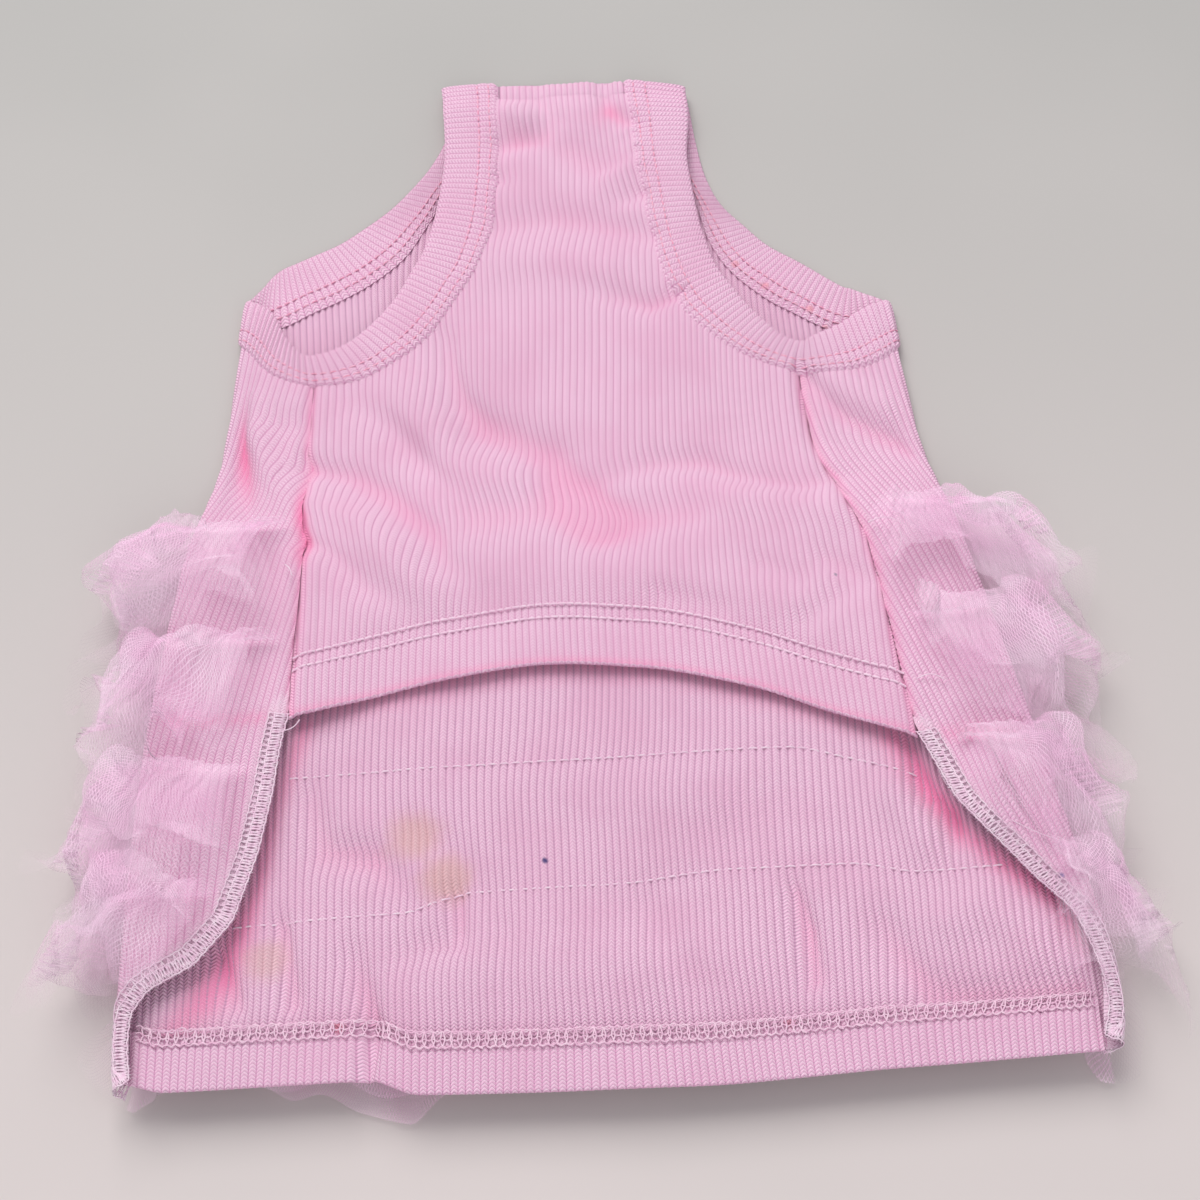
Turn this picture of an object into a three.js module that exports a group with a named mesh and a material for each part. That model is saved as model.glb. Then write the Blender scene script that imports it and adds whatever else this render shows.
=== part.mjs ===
import * as THREE from 'three';

// A sleeveless rib knit dress for a small dog, with rows of gathered tulle on its back.
// It lies flat with the belly side up. Millimetres, +Z up. X runs across the garment and
// Y from the back hem to the neck, so the neck opens to +Y and the leg holes to both sides.
// The back panel lies lowest. It folds over at both sides and meets the belly panel on top.
// Below the belly panel's hem its cut edges lie folded over as two flaps.

// Cloth
const KNIT = 1.6;
const BAND = 2.2;
const TULLE = 1.3;
const RIB_PITCH = 2;
const RIB_HEIGHT = 0.4;
const SEAM_GAP = 0.35;
const ARMHOLE_GAP = 0.5;

// Turned hems, measured up from the fold
const BACK_HEM = 13;
const BELLY_HEM = 16;
const HEM_STEP = 1.6;
const HEM_EXTRA = 0.9;

// Ends of the garment
const NECK_Y = 325;
const NECK_BAND = 7;
const HEM_CORNER = 122;
const FOLD_FROM = 92;
const FOLD_TO = 134;
const STRAP_LEFT = 24;
const STRAP_RIGHT = 20;

// Tulle rows, from the waist down: the line each is gathered on, and how far it flares
// out past the fold on each side
const RUFFLES = [
  { line: 162, left: 26, right: 31 },
  { line: 124, left: 19, right: 23 },
  { line: 85, left: 22, right: 18 },
  { line: 50, left: 17, right: 17 },
];
const RUFFLE_LENGTH = 52;
const WAVES = 36;

// How the cloth lies at each distance from the hem, straight between these rows: the
// middle height of the lower layer, the rise from there to the upper layer, the belly
// panel's crown, and the side folds.
const LIE = [
  { y: -4, under: 9.8, rise: 4.4, crown: 0.3, left: 123.5, right: 125 },
  { y: 14, under: 9.8, rise: 4.4, crown: 0.3, left: 125, right: 128 },
  { y: 75, under: 9.8, rise: 4.6, crown: 0.5, left: 123.5, right: 119.5 },
  { y: 150, under: 7.8, rise: 4.6, crown: 1, left: 115.3, right: 106.5 },
  { y: 190, under: 0.8, rise: 3.7, crown: 1.5, left: 107, right: 99.5 },
  { y: 235, under: 0.8, rise: 3.7, crown: 1.5, left: 103, right: 96.5 },
  { y: 262, under: 0.8, rise: 3.7, crown: 1.5, left: 101.5, right: 95.5 },
  { y: 317, under: 0.8, rise: 3.9, crown: 1.9, left: 101.5, right: 95.5 },
  { y: 325, under: 0.8, rise: 3.2, crown: 0.9, left: 101.5, right: 95.5 },
];

// Side seams on the upper layer, and the cut edges of the back panel below them
const LEFT_SEAM = [
  { x: 79.5, y: 214 },
  { x: 80.2, y: 190 },
  { x: 82, y: 150 },
  { x: 84.4, y: 101 },
];
const RIGHT_SEAM = [
  { x: 67, y: 212 },
  { x: 69, y: 190 },
  { x: 78.3, y: 150 },
  { x: 84.8, y: 88 },
];
const LEFT_CUT = [
  { x: 85, y: 92 },
  { x: 88.5, y: 78 },
  { x: 91.5, y: 62 },
  { x: 97, y: 43 },
  { x: 106, y: 32 },
  { x: 117, y: 26 },
];
const RIGHT_CUT = [
  { x: 86.5, y: 80 },
  { x: 93, y: 68 },
  { x: 102, y: 57 },
  { x: 111, y: 45 },
  { x: 119, y: 36 },
];

// Hems: the straight back hem and the arched belly hem
const BACK_HEM_LINE = [
  { x: -HEM_CORNER, y: 4 },
  { x: -112, y: 1.5 },
  { x: -62, y: 2 },
  { x: -49, y: -2 },
  { x: 20, y: -3 },
  { x: 70, y: -1 },
  { x: HEM_CORNER, y: 1 },
];
const BELLY_HEM_LINE = [
  { x: -84.4, y: 100 },
  { x: -69, y: 104 },
  { x: -40, y: 111 },
  { x: -12, y: 114 },
  { x: 15, y: 112 },
  { x: 41, y: 105 },
  { x: 67, y: 94 },
  { x: 84.8, y: 87 },
];

// Armhole bands, each from the neck down the belly side, round the side fold and back up
// the lower layer to the neck. sx and sy are on the sewn edge, fx and fy on the free edge.
const LEFT_BAND = [
  { sx: STRAP_LEFT, sy: 325, fx: 41, fy: 325, layer: 'upper' },
  { sx: 24.1, sy: 313, fx: 41, fy: 313, layer: 'upper' },
  { sx: 24.6, sy: 295, fx: 41.3, fy: 296, layer: 'upper' },
  { sx: 26, sy: 273, fx: 43.5, fy: 277, layer: 'upper' },
  { sx: 30, sy: 257, fx: 47, fy: 263, layer: 'upper' },
  { sx: 36, sy: 246, fx: 51, fy: 255, layer: 'upper' },
  { sx: 44, sy: 234, fx: 57, fy: 244, layer: 'upper' },
  { sx: 53, sy: 224, fx: 64, fy: 235, layer: 'upper' },
  { sx: 62, sy: 217.5, fx: 70, fy: 229.5, layer: 'upper' },
  { sx: 71, sy: 214.5, fx: 76, fy: 226.5, layer: 'upper' },
  { sx: 79.5, sy: 214, fx: 81.5, fy: 225.5, layer: 'upper' },
  { sx: 85, sy: 215.5, fx: 85, fy: 228, layer: 'upper' },
  { sx: 92, sy: 219, fx: 89, fy: 234, layer: 'upper' },
  { sx: 98.5, sy: 225, fx: 93.5, fy: 243, layer: 'upper' },
  { sx: 103, sy: 231, fx: 99, fy: 248, layer: 'fold' },
  { sx: 97, sy: 236, fx: 94, fy: 257.5, layer: 'lower' },
  { sx: 88, sy: 240, fx: 90, fy: 261, layer: 'lower' },
  { sx: 81, sy: 244, fx: 86, fy: 263, layer: 'lower' },
  { sx: 71, sy: 249, fx: 79.5, fy: 266.3, layer: 'lower' },
  { sx: 62, sy: 255, fx: 73, fy: 269.8, layer: 'lower' },
  { sx: 53, sy: 264, fx: 67, fy: 274.5, layer: 'lower' },
  { sx: 47, sy: 276, fx: 59, fy: 282, layer: 'lower' },
  { sx: 42, sy: 288, fx: 52.5, fy: 290.5, layer: 'lower' },
  { sx: 36, sy: 299, fx: 46.5, fy: 300, layer: 'lower' },
  { sx: 29, sy: 311, fx: 42, fy: 311, layer: 'lower' },
  { sx: STRAP_LEFT, sy: 325, fx: 41, fy: 325, layer: 'lower' },
];
const RIGHT_BAND = [
  { sx: STRAP_RIGHT, sy: 325, fx: 40, fy: 322, layer: 'upper' },
  { sx: 20.1, sy: 313, fx: 39.5, fy: 312, layer: 'upper' },
  { sx: 20.4, sy: 295, fx: 37, fy: 295, layer: 'upper' },
  { sx: 21, sy: 271, fx: 37.5, fy: 273, layer: 'upper' },
  { sx: 23, sy: 257, fx: 39.5, fy: 262, layer: 'upper' },
  { sx: 26.5, sy: 245, fx: 42.5, fy: 252, layer: 'upper' },
  { sx: 31, sy: 236, fx: 46.5, fy: 245.5, layer: 'upper' },
  { sx: 38, sy: 228.5, fx: 51, fy: 239, layer: 'upper' },
  { sx: 48, sy: 221, fx: 57.5, fy: 231.5, layer: 'upper' },
  { sx: 58, sy: 215.5, fx: 63.5, fy: 225.5, layer: 'upper' },
  { sx: 67, sy: 212, fx: 69, fy: 223, layer: 'upper' },
  { sx: 74, sy: 211.5, fx: 72, fy: 225, layer: 'upper' },
  { sx: 84, sy: 212.5, fx: 80, fy: 229.5, layer: 'upper' },
  { sx: 92, sy: 216, fx: 87, fy: 235, layer: 'upper' },
  { sx: 97, sy: 221, fx: 93, fy: 239, layer: 'fold' },
  { sx: 90, sy: 226, fx: 89, fy: 244, layer: 'lower' },
  { sx: 84, sy: 228.5, fx: 86.5, fy: 245.5, layer: 'lower' },
  { sx: 78, sy: 231, fx: 84, fy: 246.5, layer: 'lower' },
  { sx: 69, sy: 237, fx: 77.5, fy: 251.5, layer: 'lower' },
  { sx: 60, sy: 243, fx: 71, fy: 256.5, layer: 'lower' },
  { sx: 49, sy: 254, fx: 62, fy: 263, layer: 'lower' },
  { sx: 42, sy: 266, fx: 55, fy: 270, layer: 'lower' },
  { sx: 38, sy: 280, fx: 46, fy: 280, layer: 'lower' },
  { sx: 33.5, sy: 292, fx: 41.5, fy: 292, layer: 'lower' },
  { sx: 27, sy: 306, fx: 40, fy: 306, layer: 'lower' },
  { sx: STRAP_RIGHT, sy: 325, fx: 40, fy: 322, layer: 'lower' },
];

// Distances from the hem at which the panels' rows of points lie
const BACK_LEVELS = [75, 150, 190];
const BELLY_LEVELS = [150, 190, 317];
const CLOSEST_ROWS = 2.5;

const PINK_RIB = new THREE.MeshStandardMaterial({
  color: 0xeab2d4,
  roughness: 0.9,
  metalness: 0,
});
const PINK_BAND = new THREE.MeshStandardMaterial({
  color: 0xeeb4d8,
  roughness: 0.9,
  metalness: 0,
});
const PINK_TULLE = new THREE.MeshStandardMaterial({
  color: 0xdfb6d6,
  roughness: 0.75,
  metalness: 0,
});

// Reads one named column of a table at any value of another, along a smooth curve.
function reader(table, key, by = 'y') {
  const rows = [...table].sort((a, b) => a[by] - b[by]);
  return (at) => {
    const last = rows.length - 1;
    if (at <= rows[0][by]) return rows[0][key];
    if (at >= rows[last][by]) return rows[last][key];
    const i = rows.findIndex((row) => row[by] > at) - 1;
    const slope = (k) => {
      const before = rows[Math.max(k - 1, 0)];
      const after = rows[Math.min(k + 1, last)];
      return (after[key] - before[key]) / (after[by] - before[by]);
    };
    const span = rows[i + 1][by] - rows[i][by];
    const t = (at - rows[i][by]) / span;
    const bend = t * (1 - t) * span;
    const line = THREE.MathUtils.lerp(rows[i][key], rows[i + 1][key], t);
    const chord = (rows[i + 1][key] - rows[i][key]) / span;
    return line + bend * ((slope(i) - chord) * (1 - t) - (slope(i + 1) - chord) * t);
  };
}

// Reads a table along straight lines.
function straight(table, key, by) {
  const rows = [...table].sort((a, b) => a[by] - b[by]);
  return (at) => {
    const last = rows.length - 1;
    if (at <= rows[0][by]) return rows[0][key];
    if (at >= rows[last][by]) return rows[last][key];
    const i = rows.findIndex((row) => row[by] > at) - 1;
    const t = (at - rows[i][by]) / (rows[i + 1][by] - rows[i][by]);
    return THREE.MathUtils.lerp(rows[i][key], rows[i + 1][key], t);
  };
}

const under = straight(LIE, 'under', 'y');
const rise = straight(LIE, 'rise', 'y');
const crown = straight(LIE, 'crown', 'y');
const leftFold = straight(LIE, 'left', 'y');
const rightFold = straight(LIE, 'right', 'y');

// The half width of the flat lower layer at y, up to where the side fold begins.
function flatTo(y, side) {
  return (side < 0 ? leftFold(y) : rightFold(y)) - rise(y) / 2;
}

// The distance along the cloth from the middle of the back to a place on one layer.
function along(x, y, side, layer) {
  const flat = flatTo(y, side);
  const turn = (Math.PI * rise(y)) / 2;
  if (layer === 'lower') return x;
  return layer === 'fold' ? flat + turn / 2 : 2 * flat + turn - x;
}

const CROWN_WIDTH = 84;
const crownAt = (x, y) => crown(y) * Math.max(0, 1 - (x / CROWN_WIDTH) ** 2);

// A point of the cloth, s along it from the middle of the back and out from its middle
// surface. Past the side fold the cloth comes back over itself.
function clothPoint(s, y, out) {
  const side = Math.sign(s) || 1;
  const flat = flatTo(y, side);
  const radius = rise(y) / 2;
  const reach = Math.abs(s);
  if (reach <= flat) return new THREE.Vector3(s, y, under(y) - out);
  const turn = Math.min((reach - flat) / radius, Math.PI);
  const x = flat + (radius + out) * Math.sin(turn) - (reach - flat - turn * radius);
  const lift = turn === Math.PI ? crownAt(x, y) : 0;
  const z = under(y) + radius - (radius + out) * Math.cos(turn) + lift;
  return new THREE.Vector3(side * x, y, z);
}

// A point of the belly panel, out above its middle surface.
function bellyPoint(x, y, out) {
  return new THREE.Vector3(x, y, under(y) + rise(y) + crownAt(x, y) + out);
}

// Numbers from one end to another in steps of about the given size.
function steps(from, to, size) {
  const count = Math.max(1, Math.round((to - from) / size));
  return Array.from({ length: count + 1 }, (_, i) => from + ((to - from) * i) / count);
}

// Triangles between two edges, each a list of { index, at }, whose places run alike.
function stitch(faces, a, b) {
  let i = 0;
  let j = 0;
  while (i < a.length - 1 || j < b.length - 1) {
    const stepA = i < a.length - 1 ? a[i + 1].at : Infinity;
    const stepB = j < b.length - 1 ? b[j + 1].at : Infinity;
    if (stepA <= stepB) {
      faces.push(a[i + 1].index, a[i].index, b[j].index);
      i += 1;
    } else {
      faces.push(a[i].index, b[j].index, b[j + 1].index);
      j += 1;
    }
  }
}

// One face of a wall: a grid of points, a list of rows for each column.
function addGrid(positions, faces, grid, flipped, closed) {
  const base = positions.length / 3;
  const rows = grid.points[0].length;
  const columns = grid.points.length;
  grid.points.flat().forEach((p) => positions.push(p.x, p.y, p.z));
  const index = (c, r) => base + (c % columns) * rows + r;
  for (let c = 0; c < columns - (closed ? 0 : 1); c += 1) {
    for (let r = 0; r < rows - 1; r += 1) {
      const corners = [index(c, r), index(c + 1, r), index(c + 1, r + 1), index(c, r + 1)];
      const [p, q, s, t] = flipped ? corners.reverse() : corners;
      faces.push(p, q, s, p, s, t);
    }
  }
  const columnAt = (c) => (c < columns ? grid.at[c] : grid.closeAt);
  return {
    row: (r) => steps(0, columns - (closed ? 0 : 1), 1).map((c) => (
      { index: index(c, r), at: columnAt(c) }
    )),
    column: (c) => steps(0, rows - 1, 1).map((r) => ({ index: index(c, r), at: r })),
    rows,
    columns,
  };
}

const backward = (edge) => edge.map(({ index, at }) => ({ index, at: -at })).reverse();

// A closed body between two faces of one piece of cloth. A closed wall is a ring.
function wall(name, outer, inner, material, closed = false) {
  const positions = [];
  const faces = [];
  const a = addGrid(positions, faces, outer, false, closed);
  const b = addGrid(positions, faces, inner, true, closed);
  stitch(faces, a.row(0), b.row(0));
  stitch(faces, backward(a.row(a.rows - 1)), backward(b.row(b.rows - 1)));
  if (!closed) {
    stitch(faces, a.column(a.columns - 1), b.column(b.columns - 1));
    stitch(faces, backward(a.column(0)), backward(b.column(0)));
  }
  const corner = (k) => new THREE.Vector3().fromArray(positions, 3 * k);
  let volume = 0;
  for (let f = 0; f < faces.length; f += 3) {
    const [p, q, r] = faces.slice(f, f + 3).map(corner);
    volume += p.dot(q.cross(r));
  }
  if (volume < 0) faces.reverse();
  const geometry = new THREE.BufferGeometry();
  geometry.setAttribute('position', new THREE.Float32BufferAttribute(positions, 3));
  geometry.setIndex(faces);
  geometry.computeVertexNormals();
  const mesh = new THREE.Mesh(geometry, material);
  mesh.name = name;
  return mesh;
}

const ribLift = (i) => (i % 2 === 0 ? RIB_HEIGHT / 2 : -RIB_HEIGHT / 2);

// The rows of a column: the turned hem, the step above it, the levels that lie between its
// ends, and its upper end. Levels past an end close up beside it.
function rowsBetween(low, high, hem, levels) {
  const turned = Math.min(hem, (high - low) * 0.15);
  const step = Math.min(HEM_STEP, (high - low) * 0.05);
  const from = low + turned + step;
  const apart = Math.min(CLOSEST_ROWS, (high - from) / (levels.length + 2));
  const between = levels.map((level, i) => THREE.MathUtils.clamp(
    level,
    from + apart * (i + 1),
    high - apart * (levels.length - i),
  ));
  return [low, low + turned, from, ...between, high];
}

// The sewn and free edges of an armhole band as curves over the cloth: x is the distance
// along the cloth from the middle of the back.
function bandCurves(rows, side) {
  const edge = (x, y) => new THREE.SplineCurve(
    rows.map((row) => new THREE.Vector2(along(row[x], row[y], side, row.layer), row[y])),
  );
  const sewn = edge('sx', 'sy');
  const free = edge('fx', 'fy');
  const middle = new THREE.SplineCurve(
    sewn.points.map((p, i) => p.clone().lerp(free.points[i], 0.5)),
  );
  return { sewn, free, middle };
}

const EDGE_SAMPLES = 240;

// The panel's edge along a band: the band's sewn edge, moved off it by the seam gap.
function edgeBeside(curves) {
  return steps(0, 1, 1 / EDGE_SAMPLES).map((t) => {
    const sewn = curves.sewn.getPoint(t);
    const away = sewn.clone().sub(curves.free.getPoint(t)).setLength(ARMHOLE_GAP);
    return { s: sewn.x + away.x, y: sewn.y + away.y };
  });
}

const BANDS = {
  [-1]: bandCurves(LEFT_BAND, -1),
  [1]: bandCurves(RIGHT_BAND, 1),
};

// The upper end of the back panel's cloth at a distance s from its middle: the neck, the
// armhole, then the side seam. The lower end is the hem, then the cut edge.
function backEnds(side) {
  const seam = (side < 0 ? LEFT_SEAM : RIGHT_SEAM).map(({ x, y }) => (
    { s: along(x + SEAM_GAP, y, side, 'upper'), y }
  ));
  const armhole = edgeBeside(BANDS[side]).filter((p) => p.s < seam[0].s - 1);
  const cut = (side < 0 ? LEFT_CUT : RIGHT_CUT).map(({ x, y }) => (
    { s: along(x, y, side, 'upper'), y }
  ));
  const corner = (y) => ({ s: flatTo(y, side) + rise(y) * 0.8, y });
  const upper = straight([...armhole, ...seam.map((p) => ({ ...p, y: p.y - SEAM_GAP }))], 'y', 's');
  const lower = straight([{ s: HEM_CORNER, y: 0 }, corner(12), corner(20), ...cut], 'y', 's');
  const hem = reader(BACK_HEM_LINE, 'y', 'x');
  return {
    high: (s) => Math.min(upper(s), NECK_Y),
    low: (s) => (s <= HEM_CORNER ? hem(side * s) : Math.max(lower(s), hem(side * HEM_CORNER))),
    reach: seam[seam.length - 1].s - 0.5,
  };
}

function backPanel() {
  const ends = { [-1]: backEnds(-1), [1]: backEnds(1) };
  const grid = (stations, face) => ({
    at: stations,
    points: stations.map((s, i) => {
      const { low, high } = ends[s < 0 ? -1 : 1];
      const reach = Math.abs(s);
      const ys = rowsBetween(low(reach), high(reach), BACK_HEM, BACK_LEVELS);
      return ys.map((y, r) => face(s, y, r, i));
    }),
  });
  const onHem = (s, r) => (r < 2 && Math.abs(s) < HEM_CORNER ? HEM_EXTRA : 0);
  const isRibbed = (s) => Math.abs(s) < HEM_CORNER;
  const outside = (s, y, r, i) => (
    clothPoint(s, y, KNIT / 2 + (isRibbed(s) ? 0 : ribLift(i)))
  );
  const inside = (s, y, r, i) => (
    clothPoint(s, y, -KNIT / 2 - onHem(s, r) - (isRibbed(s) ? ribLift(i) : 0))
  );
  const [left, right] = [-ends[-1].reach, ends[1].reach];
  const rib = RIB_PITCH / 2;
  const outerStations = [
    ...steps(left, -FOLD_FROM, rib),
    ...steps(-FOLD_FROM, -STRAP_LEFT, 3).slice(1),
    ...steps(-STRAP_LEFT, STRAP_RIGHT, 8).slice(1),
    ...steps(STRAP_RIGHT, FOLD_FROM, 3).slice(1),
    ...steps(FOLD_FROM, right, rib).slice(1),
  ];
  const innerStations = [
    ...steps(left, -FOLD_TO, 4),
    ...steps(-FOLD_TO, -HEM_CORNER, 2).slice(1),
    ...steps(-HEM_CORNER, HEM_CORNER, rib).slice(1),
    ...steps(HEM_CORNER, FOLD_TO, 2).slice(1),
    ...steps(FOLD_TO, right, 4).slice(1),
  ];
  return wall('back_panel', grid(outerStations, outside), grid(innerStations, inside), PINK_RIB);
}

// How far in from the strap the belly panel's armhole edge runs steeply
const STEEP_EDGE = 7;

// The belly panel between its side seams, from the arched hem to the armholes and neck
function bellyPanel() {
  const hem = reader(BELLY_HEM_LINE, 'y', 'x');
  const top = { [-1]: bellyTop(-1), [1]: bellyTop(1) };
  const high = (x) => top[x < 0 ? -1 : 1](Math.abs(x));
  const grid = (stations, face) => ({
    at: stations,
    points: stations.map((x, i) => (
      rowsBetween(hem(x), high(x), BELLY_HEM, BELLY_LEVELS).map((y, r) => face(x, y, r, i))
    )),
  });
  const outside = (x, y, r, i) => bellyPoint(x, y, KNIT / 2 + ribLift(i));
  const inside = (x, y, r) => bellyPoint(x, y, -KNIT / 2 - (r < 2 ? HEM_EXTRA : 0));
  const left = -LEFT_SEAM[LEFT_SEAM.length - 1].x + 0.6;
  const right = RIGHT_SEAM[RIGHT_SEAM.length - 1].x - 0.6;
  const strap = [-STRAP_LEFT + ARMHOLE_GAP, STRAP_RIGHT - ARMHOLE_GAP];
  const rib = RIB_PITCH / 2;
  const stations = (size) => [
    ...steps(left, strap[0] - STEEP_EDGE, size),
    ...steps(strap[0] - STEEP_EDGE, strap[0] - SEAM_GAP, rib).slice(1),
    ...steps(...strap, size),
    ...steps(strap[1] + SEAM_GAP, strap[1] + STEEP_EDGE, rib),
    ...steps(strap[1] + STEEP_EDGE, right, size).slice(1),
  ];
  return wall(
    'belly_panel',
    grid(stations(rib), outside),
    grid(stations(3), inside),
    PINK_RIB,
  );
}

// The upper end of the belly panel at x: the neck, the armhole, then the side seam
function bellyTop(side) {
  const seam = side < 0 ? LEFT_SEAM : RIGHT_SEAM;
  const edge = edgeBeside(BANDS[side]);
  const onBelly = edge.filter((p) => p.s > along(seam[0].x, seam[0].y, side, 'upper') + 1);
  const armhole = onBelly.map(({ s, y }) => ({ x: along(0, y, side, 'upper') - s, y }));
  const beside = seam.map(({ x, y }) => ({ x: x - SEAM_GAP / 2, y: y - SEAM_GAP }));
  const height = straight([...armhole, ...beside], 'y', 'x');
  const strap = (side < 0 ? STRAP_LEFT : STRAP_RIGHT) - SEAM_GAP;
  return (x) => (x < strap ? NECK_Y : Math.min(height(x), NECK_Y));
}

// An armhole band: cross ribs on its outer face, flush with the panels below
function armholeBand(name, side) {
  const { sewn, free, middle } = BANDS[side];
  const length = middle.getLength();
  const rows = [0, 1];
  const grid = (size, offset) => {
    const at = steps(0, 1, size / length);
    return {
      at,
      points: at.map((u, i) => {
        const t = middle.getUtoTmapping(u);
        return rows.map((v) => {
          const p = sewn.getPoint(t).lerp(free.getPoint(t), v);
          return clothPoint(side * p.x, p.y, offset(i, v));
        });
      }),
    };
  };
  const outside = grid(RIB_PITCH / 2, (i) => KNIT / 2 + ribLift(i) * 0.9 - RIB_HEIGHT * 0.45);
  const inside = grid(1.4, () => KNIT / 2 - BAND);
  return wall(name, outside, inside, PINK_BAND);
}

// The neck band: a flattened ring that carries on from both layers and opens to +Y. Its
// middle surface lies at these heights at the seam (v 0) and at its free edge (v 1).
const NECK_LIE = [
  { v: 0, low: 0.8, high: 4.7 },
  { v: 1, low: 0.8, high: 4.5 },
];
const NECK_LEFT = -40.5;
const NECK_RIGHT = 39.5;
const NECK_INNER_POINTS = 48;

// A point of the neck band: turn goes once round it from the left end of its lower side.
function neckPoint(turn, { v, low, high }, out) {
  const y = NECK_Y + SEAM_GAP + NECK_BAND * v;
  const radius = (high - low) / 2;
  const bend = Math.PI * radius;
  const across = NECK_RIGHT - NECK_LEFT - 2 * radius;
  const far = turn * 2 * (across + bend);
  const reach = radius + out;
  const leftEnd = NECK_LEFT + radius;
  const rightEnd = NECK_RIGHT - radius;
  const middle = low + radius;
  const past = far - across;
  if (past < 0) return new THREE.Vector3(leftEnd + far, y, middle - reach);
  if (past < bend) {
    const angle = past / radius;
    return new THREE.Vector3(
      rightEnd + reach * Math.sin(angle),
      y,
      middle - reach * Math.cos(angle),
    );
  }
  if (past < across + bend) {
    return new THREE.Vector3(rightEnd - (past - bend), y, middle + reach);
  }
  const angle = (past - across - bend) / radius;
  return new THREE.Vector3(
    leftEnd - reach * Math.sin(angle),
    y,
    middle + reach * Math.cos(angle),
  );
}

function neckBand() {
  const grid = (count, offset) => {
    const turns = steps(0, 1, 1 / count).slice(0, -1);
    return {
      at: turns,
      closeAt: 1,
      points: turns.map((turn, i) => (
        NECK_LIE.map((row) => neckPoint(turn, row, offset(i, turn)))
      )),
    };
  };
  const ribs = Math.round((2 * (NECK_RIGHT - NECK_LEFT)) / RIB_PITCH);
  const outside = grid(2 * ribs, (i, turn) => KNIT / 2 + (turn < 0.5 ? 0 : ribLift(i)));
  const inside = grid(NECK_INNER_POINTS, () => -KNIT / 2);
  return wall('neck_band', outside, inside, PINK_RIB, true);
}

// One half of a ruffle, from the middle of the back at q 0 to its end on the flap at q 1:
// where it is stitched, counted along the cloth from the start of the fold, where its free
// edge lies beyond the fold as a share of the flare, that edge's height, the share of the
// length that hangs towards the hem, and the height of the waves.
const RUFFLE = [
  { q: 0.5, sewn: -16, flare: -0.25, height: 2, hang: 1, wave: 1.1 },
  { q: 0.6, sewn: -6, flare: 0.5, height: 3.2, hang: 0.95, wave: 1.5 },
  { q: 0.68, sewn: 0, flare: 0.95, height: 8, hang: 0.72, wave: 3 },
  { q: 0.75, sewn: 4, flare: 1, height: 16, hang: 0.62, wave: 3 },
  { q: 0.82, sewn: 8, flare: 0.7, height: 23, hang: 0.7, wave: 2.6 },
  { q: 0.9, sewn: 20, flare: 0.05, height: 26, hang: 0.85, wave: 2.2 },
  { q: 1, sewn: 38, flare: -0.8, height: 25, hang: 0.95, wave: 1.6 },
];
const ruffleAt = (key) => reader(RUFFLE, key, 'q');
const SEWN_AT = ruffleAt('sewn');
const FLARE_AT = ruffleAt('flare');
const HEIGHT_AT = ruffleAt('height');
const HANG_AT = ruffleAt('hang');
const WAVE_AT = ruffleAt('wave');
const FLAT_PART = RUFFLE[0].q;

function ruffle(name, { line, left, right }, phase) {
  const stitchedOut = KNIT / 2 + RIB_HEIGHT / 2 + SEAM_GAP + TULLE / 2;
  const base = (q, v) => {
    const side = Math.sign(q) || 1;
    const reach = Math.abs(q);
    const share = Math.min(reach / FLAT_PART, 1);
    const flare = side < 0 ? left : right;
    const footY = line - RUFFLE_LENGTH * HANG_AT(reach);
    const s = share * (flatTo(line, side) + SEWN_AT(reach));
    const x = share * (flatTo(footY, side) + flare * FLARE_AT(reach));
    const top = clothPoint(side * s, line, stitchedOut);
    return top.lerp(new THREE.Vector3(side * x, footY, HEIGHT_AT(reach)), v);
  };
  const nudge = 1e-3;
  const normalAt = (q, v) => {
    const across = base(q + nudge, v).sub(base(q - nudge, v));
    const down = base(q, v + nudge).sub(base(q, v - nudge));
    return across.cross(down).normalize();
  };
  const at = steps(-1, 1, 1 / WAVES);
  const grid = (offset) => ({
    at,
    points: at.map((q, i) => [0, 0.5, 1].map((v) => {
      const swing = 1 + 0.3 * Math.sin(i * 1.7 + phase) * Math.abs(q);
      const wave = (i % 2 === 0 ? 1 : -1) * WAVE_AT(Math.abs(q)) * swing * Math.max(v, 0.1);
      return base(q, v).addScaledVector(normalAt(q, v), wave + offset);
    })),
  });
  return wall(name, grid(TULLE / 2), grid(-TULLE / 2), PINK_TULLE);
}

const garment = new THREE.Group();
garment.add(backPanel());
garment.add(bellyPanel());
garment.add(armholeBand('armhole_band_left', -1));
garment.add(armholeBand('armhole_band_right', 1));
garment.add(neckBand());
RUFFLES.forEach((row, i) => garment.add(ruffle(`tulle_tier_${i + 1}`, row, i * 2.1)));

// The origin is the bottom centre of the whole garment.
const box = new THREE.Box3().setFromObject(garment);
const centre = box.getCenter(new THREE.Vector3());
garment.position.set(-centre.x, -centre.y, -box.min.z);
garment.updateMatrixWorld(true);

export default garment;
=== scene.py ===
import math

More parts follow.
